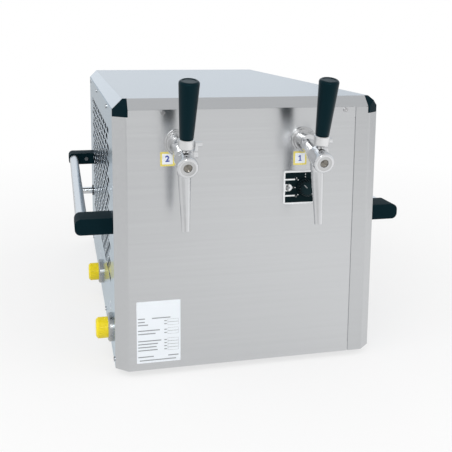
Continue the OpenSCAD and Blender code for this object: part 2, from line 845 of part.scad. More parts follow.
module tap_spout(x) color(bright) at_spout(x) translate([0, 0, spout_boss_l]) difference() {
    rotate_extrude() polygon([
        [0, 0], [spout_root_r, 0], [spout_root_r, 3], [spout_mouth_r, spout_l], [0, spout_l]
    ]);
    translate([0, 0, -through]) cylinder(r = spout_bore_r, h = spout_l + 2 * through);
}

module compensator_lever(x) color(steel) along_tap(x) translate([0, -compensator_s, 0]) {
    rotate([0, 90, 0]) {
        translate([0, 0, cone_bore_r + loose_gap])
            cylinder(r = compensator_shaft_r, h = compensator_boss_x + hub_t - cone_bore_r - loose_gap);
        translate([0, 0, compensator_boss_x + loose_gap]) cylinder(r = hub_r, h = hub_t);
    }
    translate([compensator_boss_x + loose_gap + hub_t - arm_t, -arm_w / 2, 0]) cube([arm_t, arm_w, arm_l]);
    translate([compensator_boss_x + loose_gap + hub_t - arm_t, 0, arm_l]) rotate([0, 90, 0])
        cylinder(r = tip_r, h = compensator_out - compensator_boss_x - loose_gap - hub_t + arm_t);
}

module compensator_cone(x) color(bright) along_tap(x) forward() rotate_extrude() polygon([
    [0, cone_from_s], [cone_bore_r / 2, cone_from_s], [cone_bore_r - loose_gap, cone_to_s],
    [cone_bore_r - loose_gap, cone_tail_to_s], [0, cone_tail_to_s]
]);

// Thermostat

module at_dial() at_case() translate([knob_x, 0, knob_z]) forward() children();

module dial_plate() color(black) difference() {
    at_case() translate([plate_x, 0, knob_z]) forward() linear_extrude(plate_t) round_rect(plate_w, plate_h, plate_round);
    at_dial() translate([0, 0, -through]) cylinder(r = dial_hole_r, h = plate_t + 2 * through);
}

module thermostat_knob() color(black) at_dial() translate([0, 0, plate_t + loose_gap]) difference() {
    rotate_extrude() polygon([
        [0, 0], [knob_r, 0], [knob_r, knob_h - 4], [knob_r - 1.5, knob_h - 1], [knob_r - 3, knob_h], [0, knob_h]
    ]);
    for (i = [0:flute_count - 1]) rotate(360 * i / flute_count)
        translate([knob_r + flute_r / 2, 0, 3]) cylinder(r = flute_r, h = knob_h);
    translate([0, 0, -through]) cylinder(r = spindle_r + run_gap, h = knob_h - knob_wall + through);
}

module thermostat_spindle() color(bright) at_dial()
    translate([0, 0, -sheet_t - spindle_depth])
        cylinder(r = spindle_r, h = sheet_t + spindle_depth + plate_t + loose_gap + knob_h - knob_wall);

module thermostat_body() color("dimgray") difference() {
    at_case() translate([knob_x - thermostat_w / 2, sheet_t, knob_z - thermostat_h / 2])
        cube([thermostat_w, thermostat_d, thermostat_h]);
    at_dial() translate([0, 0, -sheet_t - spindle_depth - run_gap])
        cylinder(r = spindle_r + run_gap, h = spindle_depth + through);
}

sensor_r = 2;
sensor_x = knob_x + thermostat_w / 2 - 6;
sensor_y = foam_y - sensor_ahead;
sensor_in_y = block_y + sensor_inside;
module sensor_tube() color(copper) at_case() pipe_run([
    [sensor_x, sheet_t + thermostat_d, knob_z], [sensor_x, sensor_y, knob_z],
    [sensor_x, sensor_y, line_z], [sensor_x, sensor_in_y, line_z], [sensor_x, sensor_in_y, block_top]
], sensor_r, line_bend);

// Inlets, nozzle and gland

module inlet_flanges() color(bright) inlet_places() difference() {
    rotate_extrude() polygon([
        [0, 0], [inlet_flange_r, 0], [inlet_flange_r, inlet_flange_t - 2], [inlet_flange_r - 2, inlet_flange_t],
        [0, inlet_flange_t]
    ]);
    translate([0, 0, -through]) cylinder(r = nipple_r + run_gap, h = inlet_flange_t + 2 * through);
    for (a = [90, 210, 330]) rotate(a) translate([(inlet_flange_r - 2 + inlet_cap_r) / 2, 0, inlet_flange_t - 2])
        cylinder(r = 1.5, h = 2 + through, $fn = 6);
}

module inlet_nipples() color(steel) inlet_places() difference() {
    union() {
        translate([0, 0, -nipple_inside]) cylinder(r = nipple_r, h = nipple_inside + inlet_flange_t + nipple_out);
        translate([0, 0, -sheet_t - nipple_hex_t]) cylinder(r = nipple_hex_r, h = nipple_hex_t, $fn = 6);
    }
    translate([0, 0, -nipple_inside - through])
        cylinder(r = nipple_bore_r, h = nipple_inside + inlet_flange_t + nipple_out + 2 * through);
}

module inlet_cap(y) color(yellow) out_left(y, inlet_z) translate([0, 0, inlet_flange_t]) difference() {
    rotate_extrude() polygon([
        [0, 0], [inlet_cap_r, 0], [inlet_cap_r, inlet_cap_l - 3], [inlet_cap_r - 3, inlet_cap_l], [0, inlet_cap_l]
    ]);
    for (i = [0:rib_count - 1]) rotate(360 * i / rib_count)
        translate([inlet_cap_r + rib_r / 3, 0, 4]) cylinder(r = rib_r, h = inlet_cap_l);
    translate([0, 0, -through]) cylinder(r = nipple_r + 2 * run_gap, h = cap_bore_depth + through);
}
module front_inlet_cap() inlet_cap(inlet_front_y);
module rear_inlet_cap() inlet_cap(inlet_rear_y);

module hose_nozzle() out_left(nozzle_y, nozzle_z) {
    color(bright) difference() {
        rotate_extrude() polygon([
            [0, -nozzle_inside], [nozzle_tail_r, -nozzle_inside], [nozzle_tail_r, washer_t + run_gap],
            [nozzle_r, washer_t + run_gap], [nozzle_r, nozzle_out - 2], [nozzle_r - 2, nozzle_out],
            [0, nozzle_out]
        ]);
        translate([0, 0, -nozzle_inside - through])
            cylinder(r = nozzle_bore_r, h = nozzle_inside + nozzle_out + 2 * through);
    }
    color(black) difference() {
        cylinder(r = washer_r, h = washer_t);
        translate([0, 0, -through]) cylinder(r = nozzle_tail_r + run_gap, h = washer_t + 2 * through);
    }
    color(steel) translate([0, 0, -sheet_t - washer_t * 2]) difference() {
        cylinder(r = nozzle_nut_r, h = washer_t * 2, $fn = 6);
        translate([0, 0, -through]) cylinder(r = nozzle_tail_r + run_gap, h = washer_t * 2 + 2 * through);
    }
}

module at_gland() at_case() translate([gland_x, case_d, gland_z]) rotate([-90, 0, 0]) children();
module cable_gland() color(black) at_gland() difference() {
    union() {
        rotate_extrude() polygon([
            [0, -gland_inside], [gland_tail_r, -gland_inside], [gland_tail_r, 0], [gland_r, 0],
            [gland_r, gland_out - 4], [gland_r - 3, gland_out], [0, gland_out]
        ]);
        translate([0, 0, -sheet_t - gland_nut_t]) cylinder(r = gland_nut_r, h = gland_nut_t, $fn = 6);
    }
    translate([0, 0, -gland_inside - through]) cylinder(r = gland_bore_r, h = gland_inside + gland_out + 2 * through);
}

// Cooling unit

module block_foam() color(foam_white) at_case() translate([foam_x, foam_y, floor_z]) difference() {
    cube([block_w + 2 * foam_t, block_d + 2 * foam_t, foam_t + block_h + foam_rim]);
    translate([foam_t, foam_t, foam_t]) cube([block_w, block_d, block_h + foam_rim + through]);
}

module cooling_block() color("silver") at_case() translate([block_x, block_y, block_z])
    cube([block_w, block_d, block_h]);

in_1_x = block_x + line_1_x;
in_2_x = block_x + line_2_x;
in_1_y = block_y + line_1_y;
in_2_y = inlet_rear_y - line_2_back;
out_y = block_y + line_out_y;
nipple_end_x = -half_w + nipple_inside;
module beer_lines() color("white") at_case() {
    pipe_run([
        [nipple_end_x, inlet_front_y, inlet_z], [line_x, inlet_front_y, inlet_z], [line_x, inlet_front_y, line_z],
        [line_x, in_1_y, line_z], [in_1_x, in_1_y, line_z], [in_1_x, in_1_y, block_top]
    ], line_r, line_bend);
    pipe_run([
        [nipple_end_x, inlet_rear_y, inlet_z], [line_x, inlet_rear_y, inlet_z], [line_x, inlet_rear_y, line_z],
        [in_2_x, inlet_rear_y, line_z], [in_2_x, in_2_y, line_z], [in_2_x, in_2_y, block_top]
    ], line_r, line_bend);
    pipe_run([
        [in_1_x, out_y, block_top], [in_1_x, out_y, tap_z], [tap_2_x, out_y, tap_z], [tap_2_x, shank_inside, tap_z]
    ], line_r, line_bend);
    pipe_run([[tap_1_x, out_y, block_top], [tap_1_x, out_y, tap_z], [tap_1_x, shank_inside, tap_z]], line_r, line_bend);
}

module at_compressor() at_case() translate([compressor_x, compressor_y, floor_z]) children();
module mount_places() for (x = [-1, 1], y = [-1, 1]) translate([x * mount_span_x, y * mount_span_y, 0]) children();

module compressor_mounts() color(black) at_compressor() mount_places() cylinder(r = mount_r, h = mount_h);

module compressor() color([0.12, 0.12, 0.13]) at_compressor() translate([0, 0, mount_h]) {
    translate([-mount_span_x - mount_r, -mount_span_y - mount_r, 0])
        cube([2 * mount_span_x + 2 * mount_r, 2 * mount_span_y + 2 * mount_r, mount_plate_t]);
    translate([0, 0, mount_plate_t]) rotate_extrude() polygon([
        [0, 0], [compressor_r - 8, 0], [compressor_r, 10], [compressor_r, compressor_h - 40],
        [compressor_r - 8, compressor_h - 15], [compressor_flat_r, compressor_h], [0, compressor_h]
    ]);
}

condenser_tubes = [0.15, 0.4, 0.65, 0.9];
module condenser() color("silver") at_case() {
    for (y = [condenser_y, condenser_end - end_plate_t])
        translate([condenser_x, y, floor_z]) cube([condenser_t, end_plate_t, condenser_top - floor_z]);
    for (i = [1:fin_count]) translate([condenser_x, condenser_y + i * condenser_l / (fin_count + 1), fin_bottom])
        cube([condenser_t, fin_t, condenser_top - fin_bottom]);
    for (k = condenser_tubes)
        translate([condenser_x + condenser_t / 2, condenser_y + end_plate_t / 2, fin_bottom + k * (condenser_top - fin_bottom)])
            rotate([-90, 0, 0]) cylinder(r = pipe_r, h = condenser_l - end_plate_t);
}

// Fan: +Z runs from the condenser into the case
module at_fan() at_case() translate([condenser_in_x, fan_y, fan_z]) rotate([0, 90, 0]) children();
hoop_r = fan_r + hoop_gap;
module fan_frame() color("dimgray") difference() {
    union() {
        difference() {
            union() {
                at_case() translate([condenser_in_x, condenser_y, fin_bottom])
                    cube([shroud_t, condenser_l, condenser_top - fin_bottom]);
                at_fan() cylinder(r = hoop_r + hoop_wall, h = hoop_l);
            }
            at_fan() translate([0, 0, -through]) cylinder(r = hoop_r, h = hoop_l + 2 * through);
        }
        at_fan() for (a = [0, 120, 240]) rotate(a) translate([motor_r - strut_t, -strut_w / 2, strut_z])
            cube([hoop_r + hoop_wall / 2 - motor_r + strut_t, strut_w, strut_t]);
        at_fan() translate([0, 0, motor_base]) cylinder(r = motor_r, h = motor_l);
    }
    at_fan() translate([0, 0, motor_base - through])
        cylinder(r = fan_shaft_r + run_gap, h = fan_shaft_l + through);
}

rotor_top = motor_base - rotor_gap;
module fan_rotor() color(black) at_fan() {
    translate([0, 0, rotor_top - hub_fan_l]) cylinder(r = hub_fan_r, h = hub_fan_l);
    translate([0, 0, rotor_top - hub_fan_l / 2])
        cylinder(r = fan_shaft_r, h = hub_fan_l / 2 + rotor_gap + fan_shaft_l - loose_gap);
    intersection() {
        for (i = [0:blade_count - 1]) rotate(360 * i / blade_count)
            translate([hub_fan_r - 2, 0, rotor_top - hub_fan_l / 2]) rotate([blade_pitch, 0, 0])
                translate([0, -blade_w / 2, -blade_t / 2]) cube([fan_r, blade_w, blade_t]);
        translate([0, 0, rotor_top - 2 * hub_fan_l]) cylinder(r = fan_r, h = 3 * hub_fan_l);
    }
}

suction_x = compressor_x - port_offset;
discharge_x = compressor_x + port_offset;
suction_y = block_y + block_d / 2 + suction_back;
capillary_y = block_y + block_d / 2 + capillary_back;
capillary_x = block_x + block_w / 2 - port_offset;
discharge_z = compressor_top + discharge_rise;
discharge_y = case_d - discharge_behind;
condenser_mid = condenser_x + condenser_t / 2;
liquid_z = drier_bottom - liquid_below;
module refrigerant_pipes() color(copper) at_case() {
    pipe_run([
        [discharge_x, compressor_y, compressor_top], [discharge_x, compressor_y, discharge_z],
        [discharge_x, discharge_y, discharge_z], [condenser_mid, discharge_y, discharge_z],
        [condenser_mid, condenser_end, discharge_z]
    ], pipe_r, line_bend);
    pipe_run([
        [condenser_mid, condenser_end, liquid_z], [condenser_mid, drier_y, liquid_z],
        [drier_x, drier_y, liquid_z], [drier_x, drier_y, drier_bottom]
    ], pipe_r, line_bend);
    translate([drier_x, drier_y, drier_bottom]) cylinder(r = drier_r, h = drier_l);
    pipe_run([
        [drier_x, drier_y, drier_bottom + drier_l], [drier_x, drier_y, line_z], [capillary_x, drier_y, line_z],
        [capillary_x, capillary_y, line_z], [capillary_x, capillary_y, block_top]
    ], pipe_r, line_bend);
    pipe_run([
        [suction_x, suction_y, block_top], [suction_x, suction_y, line_z], [suction_x, compressor_y, line_z],
        [suction_x, compressor_y, compressor_top]
    ], pipe_r, line_bend);
}

base_tray();
rubber_feet();
top_cover();
left_side_panel();
right_side_panel();
front_panel();
front_post();
back_panel();
left_corner_cap();
right_corner_cap();
panel_screws();
left_handle_tube();
right_handle_tube();
left_front_bracket();
left_rear_bracket();
right_front_bracket();
right_rear_bracket();
bracket_screws();
rosette(tap_1_x);  // tap_1_rosette
shank(tap_1_x);  // tap_1_shank
tap_body(tap_1_x);  // tap_1_body
tap_front_cap(tap_1_x);  // tap_1_front_cap
tap_piston(tap_1_x);  // tap_1_piston
tap_lever(tap_1_x);  // tap_1_lever
tap_grip(tap_1_x);  // tap_1_grip
tap_spout(tap_1_x);  // tap_1_spout
compensator_lever(tap_1_x);  // tap_1_compensator_lever
compensator_cone(tap_1_x);  // tap_1_compensator_cone
rosette(tap_2_x);  // tap_2_rosette
shank(tap_2_x);  // tap_2_shank
tap_body(tap_2_x);  // tap_2_body
tap_front_cap(tap_2_x);  // tap_2_front_cap
tap_piston(tap_2_x);  // tap_2_piston
tap_lever(tap_2_x);  // tap_2_lever
tap_grip(tap_2_x);  // tap_2_grip
tap_spout(tap_2_x);  // tap_2_spout
compensator_lever(tap_2_x);  // tap_2_compensator_lever
compensator_cone(tap_2_x);  // tap_2_compensator_cone
shank_nuts();
front_cap_screws();
dial_plate();
thermostat_knob();
thermostat_spindle();
thermostat_body();
sensor_tube();
inlet_flanges();
inlet_nipples();
front_inlet_cap();
rear_inlet_cap();
hose_nozzle();
cable_gland();
cooling_block();
block_foam();
beer_lines();
compressor();
compressor_mounts();
condenser();
fan_frame();
fan_rotor();
refrigerant_pipes();
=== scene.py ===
"""Two-tap dry beer cooler: finishes, trim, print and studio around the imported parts."""

import json
import math

import bmesh
import bpy
from bpy.props import FloatProperty, FloatVectorProperty, PointerProperty
from mathutils import Matrix, Vector


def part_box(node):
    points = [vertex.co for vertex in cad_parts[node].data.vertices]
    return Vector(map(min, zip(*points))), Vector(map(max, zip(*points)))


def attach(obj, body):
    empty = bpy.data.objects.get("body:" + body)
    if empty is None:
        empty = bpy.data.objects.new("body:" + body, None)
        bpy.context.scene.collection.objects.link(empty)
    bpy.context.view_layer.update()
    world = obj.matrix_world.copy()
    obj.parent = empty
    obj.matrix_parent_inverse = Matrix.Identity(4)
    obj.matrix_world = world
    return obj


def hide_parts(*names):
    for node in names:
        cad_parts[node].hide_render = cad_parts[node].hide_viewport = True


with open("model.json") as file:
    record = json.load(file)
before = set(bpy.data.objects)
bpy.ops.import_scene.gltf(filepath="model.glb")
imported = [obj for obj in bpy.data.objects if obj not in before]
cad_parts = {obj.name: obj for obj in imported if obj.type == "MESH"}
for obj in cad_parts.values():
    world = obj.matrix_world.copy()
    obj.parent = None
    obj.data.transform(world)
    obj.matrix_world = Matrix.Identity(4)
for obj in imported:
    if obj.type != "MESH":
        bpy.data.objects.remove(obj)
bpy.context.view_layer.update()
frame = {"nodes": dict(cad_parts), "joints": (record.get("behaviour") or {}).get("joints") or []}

bl_info = {
    "name": "Two-tap beer cooler",
    "version": (1, 0, 0),
    "blender": (4, 5, 0),
    "location": "View3D > Sidebar > Cooler",
    "description": "Dresses the packed parts of a two-tap dry beer cooler and sets up its studio",
    "category": "Object",
}

NODES = frame["nodes"]
JOINTS = {joint["name"]: joint for joint in frame["joints"]}
FRONT_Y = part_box("front_panel")[0].y
SIDE_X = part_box("left_side_panel")[0].x
CASE_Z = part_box("base_tray")[0].z
TAPS = ("tap_1", "tap_2")

# Tap forms, as (radius, height) points along the barrel or the grip, in metres
BARREL_TURN = Matrix.Rotation(math.radians(90 + 13), 4, "X")
LEVER_ANGLE = math.radians(15)
CAP_RADIUS, CAP_FRONT = 0.0145, 0.092
CAP_PROFILE = (
    (0, 0.084), (0.0135, 0.084), (CAP_RADIUS, 0.085), (CAP_RADIUS, CAP_FRONT), (0.0104, CAP_FRONT),
    (0.0098, 0.0917), (0.0062, 0.0917), (0.00575, 0.0912), (0.00575, 0.0865), (0, 0.0865))
SCREW_PROFILE = (
    (0, 0.08652), (0.0056, 0.08652), (0.0056, 0.0900), (0.0050, 0.0903), (0.0006, 0.0878), (0, 0.0877))
GRIP_FOOT, GRIP_TOP = (0.0095, 0.023), (0.014, 0.103)
GRIP_BORE = ((0, 0.0455), (0.00405, 0.0455), (0.00405, 0.023))

# The thermostat's knob and the places of its print
KNOB_PROFILE = (
    (0, 0.011), (0.0034, 0.011), (0.0034, 0), (0.0125, 0), (0.0125, 0.0026), (0.0125, 0.0034),
    (0.0124, 0.0098), (0.0118, 0.0116), (0.0108, 0.0130), (0.0095, 0.0138), (0.0082, 0.0140), (0, 0.0140))
KNOB_RIDGES, RIDGE_DEPTH = 18, 0.0017
DOT_RING, NUMERAL_RING = 0.0158, 0.0194
PLATE_RIM = 0.0024
FIELD_DEPTH = 0.00004
PRINT_DEPTH = 0.00006

# Stickers as (number, x or y from the front, height), and the label's rules as (drop, start, end)
TAP_STICKERS = (("1", 0.0736, 0.3098), ("2", -0.1239, 0.3147))
INLET_STICKERS = (("1", 0.107, 0.062), ("2", 0.372, 0.062))
INLET_STICKER_SIZE = 0.013
PAPER_DEPTH, PAPER_TOP = 0.00015, 0.0002
LABEL_LEFT, LABEL_BOTTOM = -0.170, 0.011
LABEL_RULES = (
    (0.0262, 0.002, 0.0122), (0.0312, 0.002, 0.012), (0.0358, 0.002, 0.0167), (0.0445, 0.002, 0.034),
    (0.0495, 0.002, 0.0275), (0.0605, 0.002, 0.036), (0.0653, 0.002, 0.031), (0.070, 0.002, 0.029),
    (0.0748, 0.002, 0.0305), (0.085, 0.002, 0.0248), (0.0262, 0.0224, 0.0496), (0.085, 0.046, 0.0615),
    (0.0905, 0.004, 0.0578))
LABEL_BOXES = (0.0312, 0.0358, 0.0445, 0.0495, 0.0605, 0.0653, 0.070, 0.0748)
RULE_HALF, BOX_HALF = 0.0008, 0.0023

# The camera as fitted to the photo: yaw, pitch and roll in degrees, place from the foot of the case's front
CAMERA_TURN = (13.18, 8.825, -0.498)
CAMERA_PLACE = (-0.2698, -0.9856, 0.4969)
CAMERA_LENS, CAMERA_SHIFT = 56.80, -0.1903

# Lamps as (name, place, target, size, watts, seen in mirrors)
LAMPS = (
    ("key_light", (-1.9, -1.65, 2.85), (0, -0.1, 0.25), (3.2, 3.2), 46, False),
    ("fill_light", (2.1, -1.7, 1.8), (0, -0.1, 0.25), (2.2, 2.2), 17, False),
    ("back_light", (0.3, 1.9, 2.2), (0, 0.1, 0.3), (1.6, 1.6), 4, True),
    ("strip_light", (-0.35, -2.7, 1.35), (-0.05, -0.35, 0.33), (0.3, 0.9), 7, True))

# Reaches in metres and levels of the floor: how far its glow takes over, and how bright mirrors see it
FLOOR_GREY = (0.86, 0.86, 0.86, 1)
GLOW_REACH, GLOW_SHARE = (0.5, 1.6), (0.65, 1.0)
MIRROR_SIDEWAYS = ((-0.35, 0.35), (0.78, 1.0))
MIRROR_DEPTHS = (((-2.6, -1.0), (0.83, 1.0)), ((-0.3, 0.6), (1.0, 0.76)))

# What mirrors see of the surroundings: by height, and cooler towards the back
SKY_HEIGHTS, SKY_LEVELS = (0.2, 0.9), (0.92, 0.71)
SKY_BACK, SKY_COOL = (-0.3, 0.7), (0.85, 0.925, 1.0, 1)
SKY_LIGHT = 0.72

# Pattern stretches of the finishes, and the blue sheen of the black plastics
ALONG_X = (5, 1500, 1500)
ALONG_Y = (1500, 5, 1500)
TURNED = (900, 900, 60)
BLUE_SHEEN = (0.35, 0.9, 1.0)
DEEP_SHEEN = (0.4, 0.9, 1.0)


class CoolerSizes(bpy.types.PropertyGroup):
    """Sizes of the trim that a user would change"""

    bend_radius: FloatProperty(
        name="Bend radius", description="Rounding of the bends in the sheet metal",
        default=0.0018, min=0.0005, max=0.004, precision=4, unit="LENGTH")
    sheet_edge: FloatProperty(
        name="Sheet edge", description="Rounding of the cut edges of the sheet metal",
        default=0.0003, min=0.0001, max=0.0005, precision=4, unit="LENGTH")
    plastic_edge: FloatProperty(
        name="Plastic edge", description="Rounding of the moulded plastic's edges",
        default=0.0012, min=0.0002, max=0.003, precision=4, unit="LENGTH")
    bracket_edge: FloatProperty(
        name="Bracket edge", description="Rounding of the edges of the handles' end brackets",
        default=0.003, min=0.0005, max=0.004, precision=4, unit="LENGTH")
    sticker_size: FloatProperty(
        name="Number sticker", description="Width and height of a tap's number sticker",
        default=0.0205, min=0.01, max=0.03, precision=4, unit="LENGTH")
    label_width: FloatProperty(
        name="Label width", description="Width of the bare rating label",
        default=0.0645, min=0.03, max=0.1, precision=4, unit="LENGTH")
    label_height: FloatProperty(
        name="Label height", description="Height of the bare rating label",
        default=0.0945, min=0.03, max=0.15, precision=4, unit="LENGTH")
    grip_dish: FloatProperty(
        name="Grip dish", description="Depth of the shallow dish in a grip's top",
        default=0.0008, min=0.0, max=0.002, precision=4, unit="LENGTH")


class CoolerColours(bpy.types.PropertyGroup):
    """Colours of the finishes"""

    steel: FloatVectorProperty(
        name="Case steel", description="Colour of the brushed sheet steel of the front, back and cover",
        default=(0.612, 0.622, 0.634), min=0.0, max=1.0, subtype="COLOR")
    # Painted reflection: the sides' steel is bluer and darker than the front's, standing in for the bluish
    # surroundings it mirrors
    side_steel_painted_reflection: FloatVectorProperty(
        name="Side steel", description="Colour of the brushed sheet steel of the sides",
        default=(0.57, 0.605, 0.65), min=0.0, max=1.0, subtype="COLOR")
    chrome: FloatVectorProperty(
        name="Tap chrome", description="Colour of the polished tap metal",
        default=(0.72, 0.73, 0.745), min=0.0, max=1.0, subtype="COLOR")
    satin: FloatVectorProperty(
        name="Satin metal", description="Colour of the ferrules and handle tubes",
        default=(0.81, 0.815, 0.82), min=0.0, max=1.0, subtype="COLOR")
    black: FloatVectorProperty(
        name="Black plastic", description="Colour of the grips, brackets and corner caps",
        default=(0.0015, 0.0085, 0.013), min=0.0, max=1.0, subtype="COLOR")
    yellow: FloatVectorProperty(
        name="Yellow plastic", description="Colour of the inlet caps",
        default=(0.93, 0.75, 0.008), min=0.0, max=1.0, subtype="COLOR")
    paper: FloatVectorProperty(
        name="Paper", description="Colour of the label and the stickers",
        default=(0.81, 0.85, 0.89), min=0.0, max=1.0, subtype="COLOR")
    numeral: FloatVectorProperty(
        name="Numerals", description="Colour of the tap numbers",
        default=(0.03, 0.06, 0.36), min=0.0, max=1.0, subtype="COLOR")


# Shader groups that several finishes share


def add(tree, kind, **settings):
    made = tree.nodes.new(kind)
    for key, value in settings.items():
        setattr(made, key, value)
    return made


def new_group(name, inputs, outputs):
    tree = bpy.data.node_groups.new(name, "ShaderNodeTree")
    for label, kind, default in inputs:
        socket = tree.interface.new_socket(label, in_out="INPUT", socket_type=kind)
        if default is not None:
            socket.default_value = default
    for label, kind in outputs:
        tree.interface.new_socket(label, in_out="OUTPUT", socket_type=kind)
    return tree, add(tree, "NodeGroupInput"), add(tree, "NodeGroupOutput")


def mix_colours(tree, factor, low, high):
    mix = add(tree, "ShaderNodeMix", data_type="RGBA")
    tree.links.new(factor, mix.inputs[0])
    tree.links.new(low, mix.inputs[6])
    tree.links.new(high, mix.inputs[7])
    return mix.outputs[2]


def mix_values(tree, factor, low, high):
    mix = add(tree, "ShaderNodeMix", data_type="FLOAT")
    tree.links.new(factor, mix.inputs[0])
    tree.links.new(low, mix.inputs[2])
    tree.links.new(high, mix.inputs[3])
    return mix.outputs[0]


def noise(tree, vector, scale, detail, roughness=0.5):
    made = add(tree, "ShaderNodeTexNoise")
    tree.links.new(vector, made.inputs["Vector"])
    made.inputs["Scale"].default_value = scale
    made.inputs["Detail"].default_value = detail
    made.inputs["Roughness"].default_value = roughness
    return made.outputs["Fac"]


FINISH_INPUTS = (
    ("Vector", "NodeSocketVector", None), ("Dark", "NodeSocketColor", None),
    ("Light", "NodeSocketColor", None), ("Smooth", "NodeSocketFloat", 0.2), ("Rough", "NodeSocketFloat", 0.3))
FINISH_OUTPUTS = (
    ("Colour", "NodeSocketColor"), ("Roughness", "NodeSocketFloat"), ("Height", "NodeSocketFloat"))


def wire_finish(tree, source, result, tint, gloss, height):
    """Links a group's patterns to its colour, roughness and height outputs"""
    colour = mix_colours(tree, tint, source.outputs["Dark"], source.outputs["Light"])
    roughness = mix_values(tree, gloss, source.outputs["Smooth"], source.outputs["Rough"])
    tree.links.new(colour, result.inputs["Colour"])
    tree.links.new(roughness, result.inputs["Roughness"])
    tree.links.new(height, result.inputs["Height"])
    return tree


def brushed_grain():
    """Long fine scratches: the vector comes in stretched along the grain"""
    tree, source, result = new_group("brushed_grain", FINISH_INPUTS, FINISH_OUTPUTS)
    fine = noise(tree, source.outputs["Vector"], 1.0, 4.0, 0.65)
    wide = noise(tree, source.outputs["Vector"], 0.12, 2.0)
    both = add(tree, "ShaderNodeMath", operation="MULTIPLY_ADD")
    both.inputs[1].default_value = 0.6
    tree.links.new(fine, both.inputs[0])
    half = add(tree, "ShaderNodeMath", operation="MULTIPLY")
    half.inputs[1].default_value = 0.4
    tree.links.new(wide, half.inputs[0])
    tree.links.new(half.outputs[0], both.inputs[2])
    spread = add(tree, "ShaderNodeMapRange", clamp=True)
    spread.inputs["From Min"].default_value = 0.3
    spread.inputs["From Max"].default_value = 0.7
    tree.links.new(both.outputs[0], spread.inputs["Value"])
    return wire_finish(tree, source, result, spread.outputs[0], spread.outputs[0], fine)


def moulded_grain():
    """Fine pebbled skin of moulded plastic with slight blotches"""
    tree, source, result = new_group("moulded_grain", FINISH_INPUTS, FINISH_OUTPUTS)
    skin = noise(tree, source.outputs["Vector"], 1.0, 3.0, 0.6)
    blotch = noise(tree, source.outputs["Vector"], 0.03, 2.0)
    return wire_finish(tree, source, result, blotch, skin, skin)


def handled_polish():
    """Faint wiping marks on polished metal"""
    tree, source, result = new_group("handled_polish", FINISH_INPUTS, FINISH_OUTPUTS)
    wipes = noise(tree, source.outputs["Vector"], 1.0, 3.0, 0.55)
    sharp = add(tree, "ShaderNodeMapRange", clamp=True)
    sharp.inputs["From Min"].default_value = 0.4
    sharp.inputs["From Max"].default_value = 0.75
    tree.links.new(wipes, sharp.inputs["Value"])
    return wire_finish(tree, source, result, wipes, sharp.outputs[0], wipes)


GROUPS = {}
FINISHES = {}


def shared_group(maker):
    if maker.__name__ not in GROUPS:
        GROUPS[maker.__name__] = maker()
    return GROUPS[maker.__name__]


def shade(colour, factor):
    return (colour[0] * factor, colour[1] * factor, colour[2] * factor, 1.0)


def even(scale):
    """One stretch of a finish's pattern for all directions"""
    return (scale, scale, scale)


def finish(
        name, maker, colour, stretch, gloss, vary=0.06, bump=0.0, bump_depth=0.00005, metallic=0.0, coat=0.0,
        specular=0.5, tint=(1, 1, 1), anisotropy=0.0):
    """A Principled finish whose colour, roughness and bump come from one of the shared groups"""
    if name in FINISHES:
        return FINISHES[name]
    material = bpy.data.materials.new(name)
    material.use_nodes = True
    tree = material.node_tree
    shader = tree.nodes["Principled BSDF"]
    place = add(tree, "ShaderNodeTexCoord")
    scale = add(tree, "ShaderNodeMapping")
    scale.inputs["Scale"].default_value = stretch
    tree.links.new(place.outputs["Object"], scale.inputs["Vector"])
    group = add(tree, "ShaderNodeGroup", node_tree=shared_group(maker))
    tree.links.new(scale.outputs["Vector"], group.inputs["Vector"])
    group.inputs["Dark"].default_value = shade(colour, 1 - vary)
    group.inputs["Light"].default_value = shade(colour, 1 + vary)
    group.inputs["Smooth"].default_value = gloss[0]
    group.inputs["Rough"].default_value = gloss[1]
    tree.links.new(group.outputs["Colour"], shader.inputs["Base Color"])
    tree.links.new(group.outputs["Roughness"], shader.inputs["Roughness"])
    shader.inputs["Metallic"].default_value = metallic
    shader.inputs["Coat Weight"].default_value = coat
    shader.inputs["Specular IOR Level"].default_value = specular
    shader.inputs["Specular Tint"].default_value = (*tint, 1)
    if bump:
        relief = add(tree, "ShaderNodeBump")
        relief.inputs["Strength"].default_value = bump
        relief.inputs["Distance"].default_value = bump_depth
        tree.links.new(group.outputs["Height"], relief.inputs["Height"])
        tree.links.new(relief.outputs["Normal"], shader.inputs["Normal"])
    if anisotropy:
        shader.inputs["Anisotropic"].default_value = anisotropy
        along = add(tree, "ShaderNodeTangent", direction_type="UV_MAP", uv_map="grain")
        tree.links.new(along.outputs["Tangent"], shader.inputs["Tangent"])
    FINISHES[name] = material
    return material


def colours():
    return bpy.context.scene.cooler_colours


def sizes():
    return bpy.context.scene.cooler_sizes


def sheet_steel(place):
    """Brushed steel, bluer on the sides as a painted reflection and a little darker on the post as painted
    shade
    """
    if place == "side":
        # painted reflection: bluer colour and blue specular tint on the sides
        return finish(
            "side_steel_painted_reflection", brushed_grain, colours().side_steel_painted_reflection, ALONG_Y, (0.18, 0.22), vary=0.025,
            metallic=1.0, tint=(0.82, 0.93, 1.0), anisotropy=0.8)
    # painted shade: the post's steel is a darker copy of the case steel
    if place == "post":
        return finish(
            "post_steel_painted_shade", brushed_grain, shade(colours().steel, 0.92), ALONG_X, (0.20, 0.25), vary=0.03,
            metallic=1.0, anisotropy=0.8)
    return finish(
        "case_steel", brushed_grain, colours().steel, ALONG_X, (0.20, 0.25), vary=0.03, metallic=1.0,
        anisotropy=0.8)


# Painted shade: a near-black finish that stands in for the shadow inside the seam between panel and post
def painted_seam_shade():
    return finish(
        "painted_seam_shade", brushed_grain, (0.05, 0.052, 0.055), ALONG_X, (0.42, 0.55), vary=0.1, metallic=1.0)


def tap_chrome():
    return finish(
        "tap_chrome", handled_polish, colours().chrome, even(60), (0.11, 0.19), vary=0.03, metallic=1.0)


